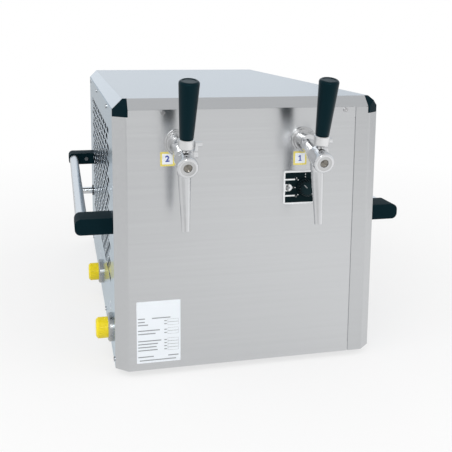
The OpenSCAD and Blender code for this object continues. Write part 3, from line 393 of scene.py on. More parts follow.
def satin_metal():
    return finish(
        "satin_metal", brushed_grain, colours().satin, TURNED, (0.26, 0.40), vary=0.06, metallic=1.0)


def turned_metal():
    return finish(
        "turned_metal", brushed_grain, (0.58, 0.585, 0.59), TURNED, (0.20, 0.30), vary=0.06, metallic=1.0)


def bright_screw():
    return finish(
        "bright_screw", handled_polish, (0.52, 0.52, 0.53), even(300), (0.16, 0.32), vary=0.08, metallic=1.0)


def black_plastic():
    return finish(
        "black_plastic", moulded_grain, colours().black, even(1600), (0.26, 0.36), vary=0.12,
        bump=0.1, bump_depth=0.0001, specular=0.16, tint=BLUE_SHEEN)


def bracket_plastic():
    return finish(
        "bracket_plastic", moulded_grain, colours().black, even(1600), (0.62, 0.74), vary=0.12,
        bump=0.12, bump_depth=0.0001, specular=0.16, tint=BLUE_SHEEN)


def knob_plastic():
    return finish(
        "knob_plastic", moulded_grain, (0.004, 0.007, 0.009), even(1800), (0.24, 0.34), vary=0.12,
        bump=0.1, bump_depth=0.0001, specular=0.25, tint=DEEP_SHEEN)


def plate_plastic():
    return finish("dial_plate_white", moulded_grain, (0.80, 0.82, 0.83), even(900), (0.34, 0.44), vary=0.02)


def dial_black():
    return finish(
        "dial_field_black", moulded_grain, (0.003, 0.007, 0.009), even(900), (0.34, 0.44), vary=0.15,
        specular=0.12, tint=DEEP_SHEEN)


def yellow_plastic():
    return finish(
        "yellow_plastic", moulded_grain, colours().yellow, even(1400), (0.30, 0.42), vary=0.05,
        bump=0.06, bump_depth=0.0001)


def paper():
    return finish("paper", moulded_grain, colours().paper, even(2200), (0.40, 0.55), vary=0.02, bump=0.03)


def ink(name, colour):
    return finish(name, moulded_grain, colour, even(2600), (0.38, 0.52), vary=0.06)


def grey_print():
    return ink("grey_print", (0.28, 0.30, 0.31))


def rubber():
    return finish(
        "rubber", moulded_grain, (0.018, 0.018, 0.019), even(900), (0.65, 0.85), vary=0.15, bump=0.25,
        bump_depth=0.0002)


# Mesh helpers


def copy_of(node):
    """The node's mesh, with its loose triangles joined and its flat faces made whole"""
    bm = bmesh.new()
    bm.from_mesh(NODES[node].data)
    bmesh.ops.remove_doubles(bm, verts=bm.verts, dist=0.000002)
    bmesh.ops.dissolve_limit(bm, angle_limit=math.radians(0.4), verts=bm.verts, edges=bm.edges)
    return bm


def round_edges(bm, low, high, length, offset, segments):
    """Bevels the edges that are longer than length and turn by an angle between low and high degrees"""
    bm.normal_update()
    chosen = [
        edge for edge in bm.edges
        if len(edge.link_faces) == 2 and edge.calc_length() > length
        and low < math.degrees(edge.calc_face_angle(0.0)) < high]
    if chosen:
        bmesh.ops.bevel(
            bm, geom=chosen, offset=offset, offset_type="OFFSET", affect="EDGES", segments=segments,
            profile=0.5, material=-1, clamp_overlap=True)


def grain_map(bm, axis):
    """UV map whose U runs across the grain on each face, so that gloss spreads across it"""
    layer = bm.loops.layers.uv.new("grain")
    others = {"X": (2, 1), "Y": (2, 0), "Z": (0, 1)}[axis]
    along = "XYZ".index(axis)
    for face in bm.faces:
        across = others[0] if abs(face.normal[others[0]]) < 0.75 else others[1]
        for loop in face.loops:
            loop[layer].uv = (loop.vert.co[across], loop.vert.co[along])


def piece(bm, name, body, material, stands_for=(), smooth=None):
    """Turns a bmesh into a finished object that rides on a body"""
    mesh = bpy.data.meshes.new(name)
    bm.to_mesh(mesh)
    bm.free()
    if smooth:
        mesh.shade_smooth()
        mesh.set_sharp_from_angle(angle=math.radians(smooth))
    for each in material if isinstance(material, (list, tuple)) else [material]:
        mesh.materials.append(each)
    made = bpy.data.objects.new(name, mesh)
    bpy.context.scene.collection.objects.link(made)
    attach(made, body)
    if stands_for:
        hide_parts(*stands_for)
    return made


def dress(material, *nodes):
    """Gives CAD nodes a finish through their material slots"""
    for node in nodes:
        target = NODES[node]
        if not target.material_slots:
            target.data.materials.append(material)
        for each in target.material_slots:
            each.material = material


def add_bar(bm, low, high):
    """A box between two corners; gives its vertices"""
    low, high = Vector(low), Vector(high)
    size = Matrix.Diagonal((*(high - low), 1))
    return bmesh.ops.create_cube(bm, size=1, matrix=Matrix.Translation((low + high) / 2) @ size)["verts"]


def round_corners(bm, verts, axis, radius, segments=5):
    """Rounds the edges of a box that run along one axis"""
    chosen = set()
    for vert in verts:
        for edge in vert.link_edges:
            run = (edge.verts[1].co - edge.verts[0].co).normalized()
            if abs(run[axis]) > 0.99:
                chosen.add(edge)
    bmesh.ops.bevel(
        bm, geom=list(chosen), offset=radius, offset_type="OFFSET", affect="EDGES", segments=segments,
        profile=0.5, material=-1)


def add_disc(bm, centre, axis_turn, radius, depth, segments=32):
    """A short round plug"""
    place = Matrix.Translation(centre) @ axis_turn
    bmesh.ops.create_cone(
        bm, cap_ends=True, segments=segments, radius1=radius, radius2=radius, depth=depth, matrix=place)


def spun(profile, steps=72):
    """A round shape about Z from (radius, height) points"""
    bm = bmesh.new()
    points = [bm.verts.new((radius, 0, height)) for radius, height in profile]
    edges = [bm.edges.new(pair) for pair in zip(points, points[1:])]
    bmesh.ops.spin(
        bm, geom=points + edges, cent=(0, 0, 0), axis=(0, 0, 1), angle=math.tau, steps=steps, use_merge=True)
    bmesh.ops.remove_doubles(bm, verts=bm.verts, dist=0.000001)
    bmesh.ops.recalc_face_normals(bm, faces=bm.faces)
    return bm


def round_ring(bm, radius, height, offset, segments):
    """Rounds the ring of edges of a spun shape at one radius and height"""
    chosen = [
        edge for edge in bm.edges
        if all(abs(v.co.xy.length - radius) < 0.00002 and abs(v.co.z - height) < 0.00002 for v in edge.verts)]
    bmesh.ops.bevel(
        bm, geom=chosen, offset=offset, offset_type="OFFSET", affect="EDGES", segments=segments,
        profile=0.5, material=-1)


FACING_FRONT = Matrix.Rotation(math.radians(90), 4, "X")
FACING_LEFT = Matrix.Rotation(math.radians(-90), 4, "Z") @ Matrix.Rotation(math.radians(90), 4, "X")


def add_words(bm, words, height, place, bold=0.0):
    """Numerals as a thin raised mesh, centred on a place"""
    curve = bpy.data.curves.new("numerals", "FONT")
    curve.body = words
    curve.size = height * 1.4
    curve.align_x = "CENTER"
    curve.align_y = "CENTER"
    curve.extrude = PRINT_DEPTH / 2
    curve.offset = bold * height
    holder = bpy.data.objects.new("numerals", curve)
    bpy.context.scene.collection.objects.link(holder)
    bpy.context.view_layer.update()
    graph = bpy.context.evaluated_depsgraph_get()
    mesh = bpy.data.meshes.new_from_object(holder.evaluated_get(graph))
    mesh.transform(place)
    bm.from_mesh(mesh)
    bpy.data.objects.remove(holder)
    bpy.data.curves.remove(curve)
    bpy.data.meshes.remove(mesh)


def add_one(bm, height, place):
    """A numeral one with a flag and a foot, centred on a place"""
    outline = (
        (-0.26, 0), (0.30, 0), (0.30, 0.13), (0.12, 0.13), (0.12, 1), (-0.06, 1), (-0.28, 0.80),
        (-0.28, 0.64), (-0.08, 0.78), (-0.08, 0.13), (-0.26, 0.13))
    verts = [bm.verts.new((x * height, (y - 0.5) * height, -PRINT_DEPTH / 2)) for x, y in outline]
    grown = bmesh.ops.extrude_face_region(bm, geom=[bm.faces.new(verts)], use_keep_orig=True)["geom"]
    raised = [each for each in grown if isinstance(each, bmesh.types.BMVert)]
    bmesh.ops.translate(bm, verts=raised, vec=(0, 0, PRINT_DEPTH))
    bmesh.ops.recalc_face_normals(bm, faces=bm.faces)
    bmesh.ops.transform(bm, matrix=place, verts=verts + raised)


def islands(bm):
    """Lists of faces that hang together"""
    left = set(bm.faces)
    while left:
        found, todo = set(), [left.pop()]
        while todo:
            face = todo.pop()
            found.add(face)
            for edge in face.edges:
                for other in edge.link_faces:
                    if other in left:
                        left.remove(other)
                        todo.append(other)
        yield found


# Operators, one for each group of pieces


class COOLER_OT_case_panels(bpy.types.Operator):
    """Makes the bent and brushed sheet-metal panels of the case"""

    bl_idname = "cooler.case_panels"
    bl_label = "Case panels"

    def execute(self, context):
        for node, place, length in (
                ("front_panel", "front", 0.02), ("front_post", "post", 0.01), ("top_cover", "front", 0.01),
                ("left_side_panel", "side", 0.06), ("right_side_panel", "side", 0.06),
                ("back_panel", "front", 0.06), ("base_tray", "front", 0.02)):
            bm = copy_of(node)
            round_edges(bm, 25, 65, length, sizes().bend_radius, 4)
            round_edges(bm, 80, 100, length, sizes().sheet_edge, 2)
            grain_map(bm, "Y" if place == "side" else "X")
            finishes = [sheet_steel(place)]
            if node in ("front_panel", "front_post"):
                # the seam's walls get painted shade, a near-black finish
                self.paint_seam_shade(bm)
                finishes.append(painted_seam_shade())
            piece(bm, node + "_sheet", "cooler", finishes, (node,))
        return {"FINISHED"}

    def paint_seam_shade(self, bm):
        """Paints shade on the walls of the upright seam between panel and post, as a near-black finish"""
        seam = (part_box("front_panel")[1].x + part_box("front_post")[0].x) / 2
        reach = 0.0016
        for face in bm.faces:
            if abs(face.normal.x) > 0.9 and abs(face.calc_center_median().x - seam) < reach:
                face.material_index = 1


class COOLER_OT_corner_caps(bpy.types.Operator):
    """Makes the moulded caps on the top front corners"""

    bl_idname = "cooler.corner_caps"
    bl_label = "Corner caps"

    def execute(self, context):
        for node in ("left_corner_cap", "right_corner_cap"):
            bm = copy_of(node)
            round_edges(bm, 20, 160, 0.003, sizes().plastic_edge, 4)
            piece(bm, node + "_moulding", "cooler", bracket_plastic(), (node,), smooth=25)
        return {"FINISHED"}


class COOLER_OT_fasteners(bpy.types.Operator):
    """Finishes the screws of the panels and brackets"""

    bl_idname = "cooler.fasteners"
    bl_label = "Screws and nuts"

    def execute(self, context):
        dress(bright_screw(), "panel_screws", "shank_nuts")
        dark = finish(
            "dark_screw", handled_polish, (0.16, 0.17, 0.18), even(300), (0.22, 0.36), vary=0.1, metallic=1.0)
        dress(dark, "bracket_screws")
        return {"FINISHED"}


class COOLER_OT_handles(bpy.types.Operator):
    """Makes the moulded end brackets and finishes the carry tubes"""

    bl_idname = "cooler.handles"
    bl_label = "Carry handles"

    def execute(self, context):
        tube = finish(
            "handle_tube", brushed_grain, colours().satin, (900, 40, 900), (0.24, 0.36), vary=0.05,
            metallic=1.0)
        dress(tube, "left_handle_tube", "right_handle_tube")
        for node in ("left_front_bracket", "left_rear_bracket", "right_front_bracket", "right_rear_bracket"):
            bm = copy_of(node)
            round_edges(bm, 60, 120, 0.006, sizes().bracket_edge, 5)
            piece(bm, node + "_moulding", "cooler", bracket_plastic(), (node,), smooth=35)
        return {"FINISHED"}


class COOLER_OT_taps(bpy.types.Operator):
    """Finishes the chromed tap metal and makes the turned grips"""

    bl_idname = "cooler.taps"
    bl_label = "Taps and grips"

    def execute(self, context):
        for tap in TAPS:
            for part in ("shank", "body", "piston", "spout", "compensator_lever", "compensator_cone"):
                dress(tap_chrome(), f"{tap}_{part}")
            dress(turned_metal(), f"{tap}_rosette")
            dress(satin_metal(), f"{tap}_lever")
            self.grip(tap)
            self.front_cap(tap)
        self.cap_screws()
        return {"FINISHED"}

    def barrel(self, tap):
        """Place at the wall whose Z runs along the tap's barrel"""
        low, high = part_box(tap + "_rosette")
        return Matrix.Translation(((low.x + high.x) / 2, FRONT_Y, (low.z + high.z) / 2)) @ BARREL_TURN

    def front_cap(self, tap):
        """The domed front cap, whose flat ring is turned rather than polished"""
        bm = spun(CAP_PROFILE)
        round_ring(bm, CAP_RADIUS, CAP_FRONT, 0.0032, 8)
        for face in bm.faces:
            middle = face.calc_center_median()
            face.material_index = 1 if middle.z > 0.0916 and middle.xy.length < 0.0101 else 0
        bm.transform(self.barrel(tap))
        piece(
            bm, tap + "_front_cap_turned", "cooler", [tap_chrome(), turned_metal()],
            (tap + "_front_cap",), smooth=30)

    def cap_screws(self):
        """Dished screws in the front caps' recesses, darkened as painted shade of the recesses"""
        both = bmesh.new()
        for tap in TAPS:
            bm = spun(SCREW_PROFILE)
            bm.transform(self.barrel(tap))
            mesh = bpy.data.meshes.new("screw")
            bm.to_mesh(mesh)
            bm.free()
            both.from_mesh(mesh)
            bpy.data.meshes.remove(mesh)
        # Painted shade: the screws' metal is made dark so that the recesses read dark
        dark = finish(
            "recess_screw_painted_shade", handled_polish, (0.25, 0.235, 0.21), even(300), (0.14, 0.24), vary=0.1,
            metallic=1.0)
        piece(
            both, "front_cap_screws_turned", "cooler", dark, ("front_cap_screws",), smooth=30)

    def grip(self, tap):
        """The tapered grip, with a shallow dish in its top"""
        floor = GRIP_TOP[1] - sizes().grip_dish
        bm = spun((*GRIP_BORE, GRIP_FOOT, GRIP_TOP, (0.0097, GRIP_TOP[1]), (0.0089, floor), (0, floor)))
        round_ring(bm, *GRIP_TOP, 0.004, 8)
        round_ring(bm, *GRIP_FOOT, 0.0015, 4)
        pivot = Vector(JOINTS[tap + "_pull"]["pos_m"])
        bm.transform(Matrix.Translation(pivot) @ Matrix.Rotation(LEVER_ANGLE, 4, "X"))
        piece(
            bm, tap + "_turned_grip", tap + "_handle", black_plastic(), (tap + "_grip",),
            smooth=35)


class COOLER_OT_thermostat(bpy.types.Operator):
    """Makes the dial plate with its print and the fluted knob with its pointer"""

    bl_idname = "cooler.thermostat"
    bl_label = "Thermostat dial"

    def execute(self, context):
        low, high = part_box("dial_plate")
        face = low.y
        bm = copy_of("dial_plate")
        round_edges(bm, 60, 120, 0.002, 0.0002, 3)
        piece(bm, "dial_plate_moulding", "cooler", plate_plastic(), stands_for=("dial_plate",))
        self.print_on_plate(low, high, face)
        self.knob()
        dress(bright_screw(), "thermostat_spindle")
        dress(rubber(), "thermostat_body")
        self.pointer()
        return {"FINISHED"}

    def print_on_plate(self, low, high, face):
        """The black field inside the white rim, and the white marks and numerals on it"""
        knob = Vector(JOINTS["thermostat_turn"]["pos_m"])
        left = low.x + PLATE_RIM
        back = face - FIELD_DEPTH
        front = back - PRINT_DEPTH
        between = (front + back) / 2
        bm = bmesh.new()
        verts = add_bar(bm, (left, back, low.z + PLATE_RIM), (high.x - PLATE_RIM, face, high.z - PLATE_RIM))
        round_corners(bm, verts, 1, 0.0006, 3)
        piece(bm, "dial_field", "cooler", dial_black())
        bm = bmesh.new()
        middle = (low.z + high.z) / 2
        for side in (-1, 1):
            bar = middle + side * 0.0122
            add_bar(bm, (left, front, bar - 0.0011), (low.x + 0.0175, back, bar + 0.0011))
        tab, tab_half = low.x + 0.0078, 0.0053
        add_bar(bm, (left, front, middle - tab_half), (tab, back, middle + tab_half))
        add_disc(bm, (tab, between, middle), FACING_FRONT, tab_half, PRINT_DEPTH, 40)
        for step in range(7):
            angle = math.radians(-135 + 45 * step)
            outward = Vector((math.sin(angle), 0, math.cos(angle)))
            spot = knob + outward * DOT_RING
            add_disc(bm, (spot.x, between, spot.z), FACING_FRONT, 0.0008, PRINT_DEPTH, 16)
            spot = knob + outward * NUMERAL_RING
            place = Matrix.Translation((spot.x, back - PRINT_DEPTH / 2, spot.z)) @ FACING_FRONT
            add_words(bm, str(step + 1), 0.0027, place)
        piece(bm, "dial_print", "cooler", ink("white_print", (0.82, 0.84, 0.85)))
        bm = bmesh.new()
        add_disc(bm, (tab, front - PRINT_DEPTH / 2, middle), FACING_FRONT, 0.0021, PRINT_DEPTH, 32)
        piece(bm, "dial_tab_mark", "cooler", grey_print())

    def knob(self):
        """A ridged knob inside the outline of the plain one"""
        low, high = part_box("thermostat_knob")
        centre = (low + high) / 2
        bm = spun(KNOB_PROFILE, 216)
        for vert in bm.verts:
            reach = vert.co.xy.length
            if vert.co.z > 0.003 and reach > 0.009:
                wave = 0.5 - 0.5 * math.cos(KNOB_RIDGES * math.atan2(vert.co.y, vert.co.x))
                inward = 1 - RIDGE_DEPTH * wave * wave / reach
                vert.co.x *= inward
                vert.co.y *= inward
        bm.transform(Matrix.Translation((centre.x, high.y, centre.z)) @ FACING_FRONT)
        piece(
            bm, "ridged_knob", "thermostat_dial", knob_plastic(), ("thermostat_knob",),
            smooth=40)

    def pointer(self):
        """The grey line on the knob's face"""
        low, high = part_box("thermostat_knob")
        centre = (low + high) / 2
        bm = bmesh.new()
        verts = add_bar(bm, (-0.0006, -0.00008, 0.0020), (0.0006, 0.0, 0.0088))
        round_corners(bm, verts, 1, 0.0004, 3)
        turn = Matrix.Rotation(math.radians(-45), 4, "Y")
        bm.transform(Matrix.Translation((centre.x, low.y, centre.z)) @ turn)
        piece(bm, "knob_pointer", "thermostat_dial", grey_print())


class COOLER_OT_number_stickers(bpy.types.Operator):
    """Makes the numbered stickers under the taps and above the inlets"""

    bl_idname = "cooler.number_stickers"
    bl_label = "Number stickers"

    def execute(self, context):
        for number, x, z in TAP_STICKERS:
            place = Matrix.Translation((x, FRONT_Y, CASE_Z + z)) @ FACING_FRONT
            self.sticker("tap_sticker_" + number, number, place, sizes().sticker_size, 0.0026)
        for number, y, z in INLET_STICKERS:
            place = Matrix.Translation((SIDE_X, FRONT_Y + y, CASE_Z + z)) @ FACING_LEFT
            self.sticker("inlet_sticker_" + number, number, place, INLET_STICKER_SIZE, 0.0)
        return {"FINISHED"}

    def sticker(self, name, number, place, size, border):
        """A sheet with a numeral, and with a yellow border if one is given"""
        under = ink("yellow_print", (0.78, 0.66, 0.15)) if border else paper()
        self.sheet(name, place, size, 0.0, PAPER_DEPTH, under)
        if border:
            self.sheet(name + "_field", place, size - 2 * border, PAPER_DEPTH, PAPER_TOP, paper())
        bm = bmesh.new()
        place = place @ Matrix.Translation((0, 0, PAPER_TOP + PRINT_DEPTH / 2))
        if number == "1":
            add_one(bm, size * 0.42, place)
        else:
            add_words(bm, number, size * 0.42, place, bold=0.05)
        piece(bm, name + "_numeral", "cooler", ink("blue_print", colours().numeral))

    def sheet(self, name, place, size, low, high, material):
        bm = bmesh.new()
        verts = add_bar(bm, (-size / 2, -size / 2, low), (size / 2, size / 2, high))
        round_corners(bm, verts, 2, size * 0.05)
        bm.transform(place)
        piece(bm, name, "cooler", material)


class COOLER_OT_rating_label(bpy.types.Operator):
    """Makes the bare rating label with its empty ruled lines"""

    bl_idname = "cooler.rating_label"
    bl_label = "Rating label"

    def execute(self, context):
        left, bottom = LABEL_LEFT, CASE_Z + LABEL_BOTTOM
        right, top = left + sizes().label_width, bottom + sizes().label_height
        back, front = FRONT_Y - PAPER_DEPTH, FRONT_Y - PAPER_TOP
        bm = bmesh.new()
        verts = add_bar(bm, (left, back, bottom), (right, FRONT_Y, top))
        round_corners(bm, verts, 1, 0.0008, 4)
        piece(bm, "rating_label", "cooler", paper())
        bm = bmesh.new()
        for drop, start, end in LABEL_RULES:
            line = top - drop
            add_bar(bm, (left + start, front, line - RULE_HALF), (left + end, back, line + RULE_HALF))
        for drop in LABEL_BOXES:
            line = top - drop
            self.empty_box(bm, left + 0.0455, right - 0.003, line - BOX_HALF, line + BOX_HALF, back, front)
            add_bar(bm, (left + 0.0405, front, line - RULE_HALF), (left + 0.0442, back, line + RULE_HALF))
        piece(bm, "rating_label_ruling", "cooler", grey_print())
        return {"FINISHED"}

    def empty_box(self, bm, left, right, bottom, top, back, front):
        line = 0.0003
        add_bar(bm, (left, front, bottom), (right, back, bottom + line))
        add_bar(bm, (left, front, top - line), (right, back, top))
        add_bar(bm, (left, front, bottom + line), (left + line, back, top - line))
        add_bar(bm, (right - line, front, bottom + line), (right, back, top - line))


class COOLER_OT_inlets(bpy.types.Operator):
    """Finishes the inlet flanges, their yellow caps and the hose nozzle"""

    bl_idname = "cooler.inlets"
    bl_label = "Inlets and nozzle"

    def execute(self, context):
        grey = finish(
            "flange_grey", handled_polish, (0.46, 0.46, 0.45), even(120), (0.24, 0.38), vary=0.1,
            metallic=1.0)
        dress(grey, "inlet_flanges")
        dress(bright_screw(), "inlet_nipples")
        dress(yellow_plastic(), "front_inlet_cap", "rear_inlet_cap")
        bm = copy_of("hose_nozzle")
        for found in islands(bm):
            reach = [vert.co.x for face in found for vert in face.verts]
            washer = max(reach) - min(reach) < 0.0025 and min(reach) < SIDE_X - 0.001
            for face in found:
                face.material_index = 1 if washer else 0
        piece(
            bm, "hose_nozzle_turned", "cooler", [tap_chrome(), rubber()], ("hose_nozzle",),
            smooth=35)
        return {"FINISHED"}


class COOLER_OT_feet_and_gland(bpy.types.Operator):
    """Finishes the rubber feet and the cable gland"""

    bl_idname = "cooler.feet_and_gland"
    bl_label = "Feet and gland"

    def execute(self, context):
        dress(rubber(), "rubber_feet", "compressor_mounts")
        dress(black_plastic(), "cable_gland")
        return {"FINISHED"}


class COOLER_OT_cooling_unit(bpy.types.Operator):
    """Finishes the cooling unit inside the case"""

    bl_idname = "cooler.cooling_unit"
    bl_label = "Cooling unit"

    def execute(self, context):
        aluminium = finish(
            "cast_aluminium", handled_polish, (0.62, 0.63, 0.64), even(90), (0.38, 0.55), vary=0.08,
            metallic=1.0, bump=0.1, bump_depth=0.0002)
        foam = finish(
            "block_foam", moulded_grain, (0.78, 0.74, 0.60), even(500), (0.8, 0.95), vary=0.1, bump=0.4,
            bump_depth=0.0006)
        hose = finish("beer_hose", moulded_grain, (0.74, 0.75, 0.75), even(700), (0.3, 0.42), vary=0.04)
        copper = finish(
            "drawn_copper", handled_polish, (0.62, 0.30, 0.17), even(160), (0.18, 0.36), vary=0.15,
            metallic=1.0)
        # Black paint on the compressor and condenser, kept near black also as painted shade so that the
        # grille's slots read dark
        paint = finish(
            "shell_paint", moulded_grain, (0.012, 0.012, 0.013), even(700), (0.28, 0.42), vary=0.15, coat=0.2)
        fan = finish(
            "fan_plastic", moulded_grain, (0.012, 0.012, 0.012), even(1200), (0.42, 0.58), vary=0.12,
            bump=0.1)
        dress(aluminium, "cooling_block")
        dress(foam, "block_foam")
        dress(hose, "beer_lines")
        dress(copper, "refrigerant_pipes", "sensor_tube")
        dress(paint, "compressor", "condenser")
        dress(fan, "fan_rotor", "fan_frame")
        return {"FINISHED"}


class COOLER_OT_studio(bpy.types.Operator):
    """Sets up the camera, the pale floor and the soft light"""

    bl_idname = "cooler.studio"
    bl_label = "Studio"

    def execute(self, context):
        self.camera()
        self.floor()
        self.surroundings()
        for values in LAMPS:
            self.lamp(*values)
        bpy.context.scene.view_settings.view_transform = "Standard"
        return {"FINISHED"}

    def camera(self):
        """The camera of the photo"""
        yaw, pitch, roll = (math.radians(angle) for angle in CAMERA_TURN)
        flat = math.cos(pitch)
        ahead = Vector((math.sin(yaw) * flat, math.cos(yaw) * flat, -math.sin(pitch)))
        level = Vector((math.cos(yaw), -math.sin(yaw), 0))
        below = ahead.cross(level)
        right = math.cos(roll) * level + math.sin(roll) * below
        down = math.cos(roll) * below - math.sin(roll) * level
        turn = Matrix((right, -down, -ahead)).transposed().to_4x4()
        data = bpy.data.cameras.new("camera")
        data.lens = CAMERA_LENS
        data.sensor_width = 36
        data.shift_y = CAMERA_SHIFT
        data.clip_start = 0.05
        made = bpy.data.objects.new("camera", data)
        made.matrix_world = Matrix.Translation(Vector((0, FRONT_Y, CASE_Z)) + Vector(CAMERA_PLACE)) @ turn
        bpy.context.scene.collection.objects.link(made)
        bpy.context.scene.camera = made

    def floor(self):
        """A pale floor that glows white for the camera and the mirrors, but keeps the shadow near the case"""
        bm = bmesh.new()
        bmesh.ops.create_grid(bm, x_segments=1, y_segments=1, size=15)
        mesh = bpy.data.meshes.new("floor")
        bm.to_mesh(mesh)
        bm.free()
        material = bpy.data.materials.new("pale_floor")
        material.use_nodes = True
        tree = material.node_tree
        shader = tree.nodes["Principled BSDF"]
        shader.inputs["Base Color"].default_value = FLOOR_GREY
        shader.inputs["Roughness"].default_value = 0.9
        shader.inputs["Specular IOR Level"].default_value = 0.1
        place = add(tree, "ShaderNodeTexCoord")
        apart = add(tree, "ShaderNodeVectorMath", operation="LENGTH")
        tree.links.new(place.outputs["Object"], apart.inputs[0])
        fade = add(tree, "ShaderNodeMapRange", clamp=True)
        fade.inputs["From Min"].default_value, fade.inputs["From Max"].default_value = GLOW_REACH
        fade.inputs["To Min"].default_value, fade.inputs["To Max"].default_value = GLOW_SHARE
        tree.links.new(apart.outputs["Value"], fade.inputs["Value"])
        path = add(tree, "ShaderNodeLightPath")
        mirror = add(tree, "ShaderNodeMath", operation="MAXIMUM")
        tree.links.new(path.outputs["Is Glossy Ray"], mirror.inputs[0])
        tree.links.new(path.outputs["Is Transmission Ray"], mirror.inputs[1])
        any_view = add(tree, "ShaderNodeMath", operation="MAXIMUM")
        tree.links.new(path.outputs["Is Camera Ray"], any_view.inputs[0])
        tree.links.new(mirror.outputs[0], any_view.inputs[1])
        seen = add(tree, "ShaderNodeMath", operation="MULTIPLY")
        tree.links.new(any_view.outputs[0], seen.inputs[0])
        tree.links.new(fade.outputs[0], seen.inputs[1])
        split = add(tree, "ShaderNodeSeparateXYZ")
        tree.links.new(place.outputs["Object"], split.inputs[0])
        level = self.spread(tree, split.outputs["X"], *MIRROR_SIDEWAYS)
        for reach, levels in MIRROR_DEPTHS:
            product = add(tree, "ShaderNodeMath", operation="MULTIPLY")
            tree.links.new(level, product.inputs[0])
            tree.links.new(self.spread(tree, split.outputs["Y"], reach, levels), product.inputs[1])
            level = product.outputs[0]
        shown = add(tree, "ShaderNodeMix", data_type="FLOAT")
        shown.inputs[2].default_value = 1.0
        tree.links.new(mirror.outputs[0], shown.inputs[0])
        tree.links.new(level, shown.inputs[3])
        white = add(tree, "ShaderNodeEmission")
        tree.links.new(shown.outputs[0], white.inputs["Strength"])
        both = add(tree, "ShaderNodeMixShader")
        tree.links.new(seen.outputs[0], both.inputs[0])
        tree.links.new(shader.outputs[0], both.inputs[1])
        tree.links.new(white.outputs[0], both.inputs[2])
        tree.links.new(both.outputs[0], tree.nodes["Material Output"].inputs["Surface"])
        mesh.materials.append(material)
        made = bpy.data.objects.new("floor", mesh)
        made.location.z = -0.0002
        bpy.context.scene.collection.objects.link(made)

    def spread(self, tree, value, reach, levels):
        """A soft run from one level to another over a reach"""
        made = add(tree, "ShaderNodeMapRange", clamp=True, interpolation_type="SMOOTHSTEP")
        made.inputs["From Min"].default_value, made.inputs["From Max"].default_value = reach
        made.inputs["To Min"].default_value, made.inputs["To Max"].default_value = levels
        tree.links.new(value, made.inputs["Value"])
        return made.outputs[0]

    def surroundings(self):
        """White for the camera, a plain level for the light, and soft runs of level and tint for mirrors"""
        world = bpy.data.worlds.new("studio")
        world.use_nodes = True
        bpy.context.scene.world = world
        tree = world.node_tree
        plain = tree.nodes["Background"]
        plain.inputs["Color"].default_value = (1, 1, 1, 1)
        plain.inputs["Strength"].default_value = SKY_LIGHT
        white = add(tree, "ShaderNodeBackground")
        white.inputs["Color"].default_value = (1, 1, 1, 1)
        white.inputs["Strength"].default_value = 1.0
        mirrored = add(tree, "ShaderNodeBackground")
        toward = add(tree, "ShaderNodeTexCoord")
        split = add(tree, "ShaderNodeSeparateXYZ")
        tree.links.new(toward.outputs["Generated"], split.inputs[0])
        level = self.spread(tree, split.outputs["Z"], SKY_HEIGHTS, SKY_LEVELS)
        tree.links.new(level, mirrored.inputs["Strength"])
        cool = add(tree, "ShaderNodeMix", data_type="RGBA")
        cool.inputs[6].default_value = (1, 1, 1, 1)
        cool.inputs[7].default_value = SKY_COOL
        tree.links.new(self.spread(tree, split.outputs["Y"], SKY_BACK, (0.0, 1.0)), cool.inputs[0])
        tree.links.new(cool.outputs[2], mirrored.inputs["Color"])
        path = add(tree, "ShaderNodeLightPath")
        either = add(tree, "ShaderNodeMath", operation="MAXIMUM")
        tree.links.new(path.outputs["Is Glossy Ray"], either.inputs[0])
        tree.links.new(path.outputs["Is Transmission Ray"], either.inputs[1])
        gloss = add(tree, "ShaderNodeMixShader")
        tree.links.new(either.outputs[0], gloss.inputs[0])
        tree.links.new(plain.outputs[0], gloss.inputs[1])
        tree.links.new(mirrored.outputs[0], gloss.inputs[2])
        camera = add(tree, "ShaderNodeMixShader")
        tree.links.new(path.outputs["Is Camera Ray"], camera.inputs[0])
        tree.links.new(gloss.outputs[0], camera.inputs[1])
        tree.links.new(white.outputs[0], camera.inputs[2])
        tree.links.new(camera.outputs[0], tree.nodes["World Output"].inputs["Surface"])

    def lamp(self, name, place, target, size, power, mirrored):
        """A soft rectangular lamp that faces its target"""
        data = bpy.data.lights.new(name, "AREA")
        data.shape = "RECTANGLE"
        data.size, data.size_y = size
        data.energy = power
        made = bpy.data.objects.new(name, data)
        made.visible_glossy = mirrored
        made.location = place
        made.rotation_euler = (Vector(target) - Vector(place)).to_track_quat("-Z", "Y").to_euler()
        bpy.context.scene.collection.objects.link(made)


OPERATORS = (
    COOLER_OT_case_panels, COOLER_OT_corner_caps, COOLER_OT_fasteners, COOLER_OT_handles, COOLER_OT_taps,
    COOLER_OT_thermostat, COOLER_OT_number_stickers, COOLER_OT_rating_label, COOLER_OT_inlets,
    COOLER_OT_feet_and_gland, COOLER_OT_cooling_unit, COOLER_OT_studio)


class COOLER_PT_sidebar(bpy.types.Panel):
    """Lists the cooler's sizes, colours and operators"""

    bl_idname = "COOLER_PT_sidebar"
    bl_label = "Beer cooler"
    bl_space_type = "VIEW_3D"
    bl_region_type = "UI"
    bl_category = "Cooler"

    def draw(self, context):
        for group in (context.scene.cooler_sizes, context.scene.cooler_colours):
            for name in group.__annotations__:
                self.layout.prop(group, name)
        for operator in OPERATORS:
            self.layout.operator(operator.bl_idname)


CLASSES = (CoolerSizes, CoolerColours, *OPERATORS, COOLER_PT_sidebar)


def register():
    for each in CLASSES:
        bpy.utils.register_class(each)
    bpy.types.Scene.cooler_sizes = PointerProperty(type=CoolerSizes)
    bpy.types.Scene.cooler_colours = PointerProperty(type=CoolerColours)


def unregister():
    del bpy.types.Scene.cooler_colours
    del bpy.types.Scene.cooler_sizes
    for each in reversed(CLASSES):
        bpy.utils.unregister_class(each)


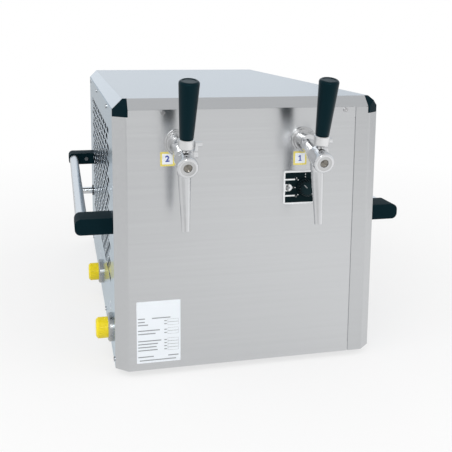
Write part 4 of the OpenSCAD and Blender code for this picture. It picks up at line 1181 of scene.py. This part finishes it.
def main():
    register()
    bpy.ops.cooler.studio()
    bpy.ops.cooler.case_panels()
    bpy.ops.cooler.corner_caps()
    bpy.ops.cooler.fasteners()
    bpy.ops.cooler.handles()
    bpy.ops.cooler.taps()
    bpy.ops.cooler.thermostat()
    bpy.ops.cooler.number_stickers()
    bpy.ops.cooler.rating_label()
    bpy.ops.cooler.inlets()
    bpy.ops.cooler.feet_and_gland()
    bpy.ops.cooler.cooling_unit()


if __name__ == "__main__":
    main()
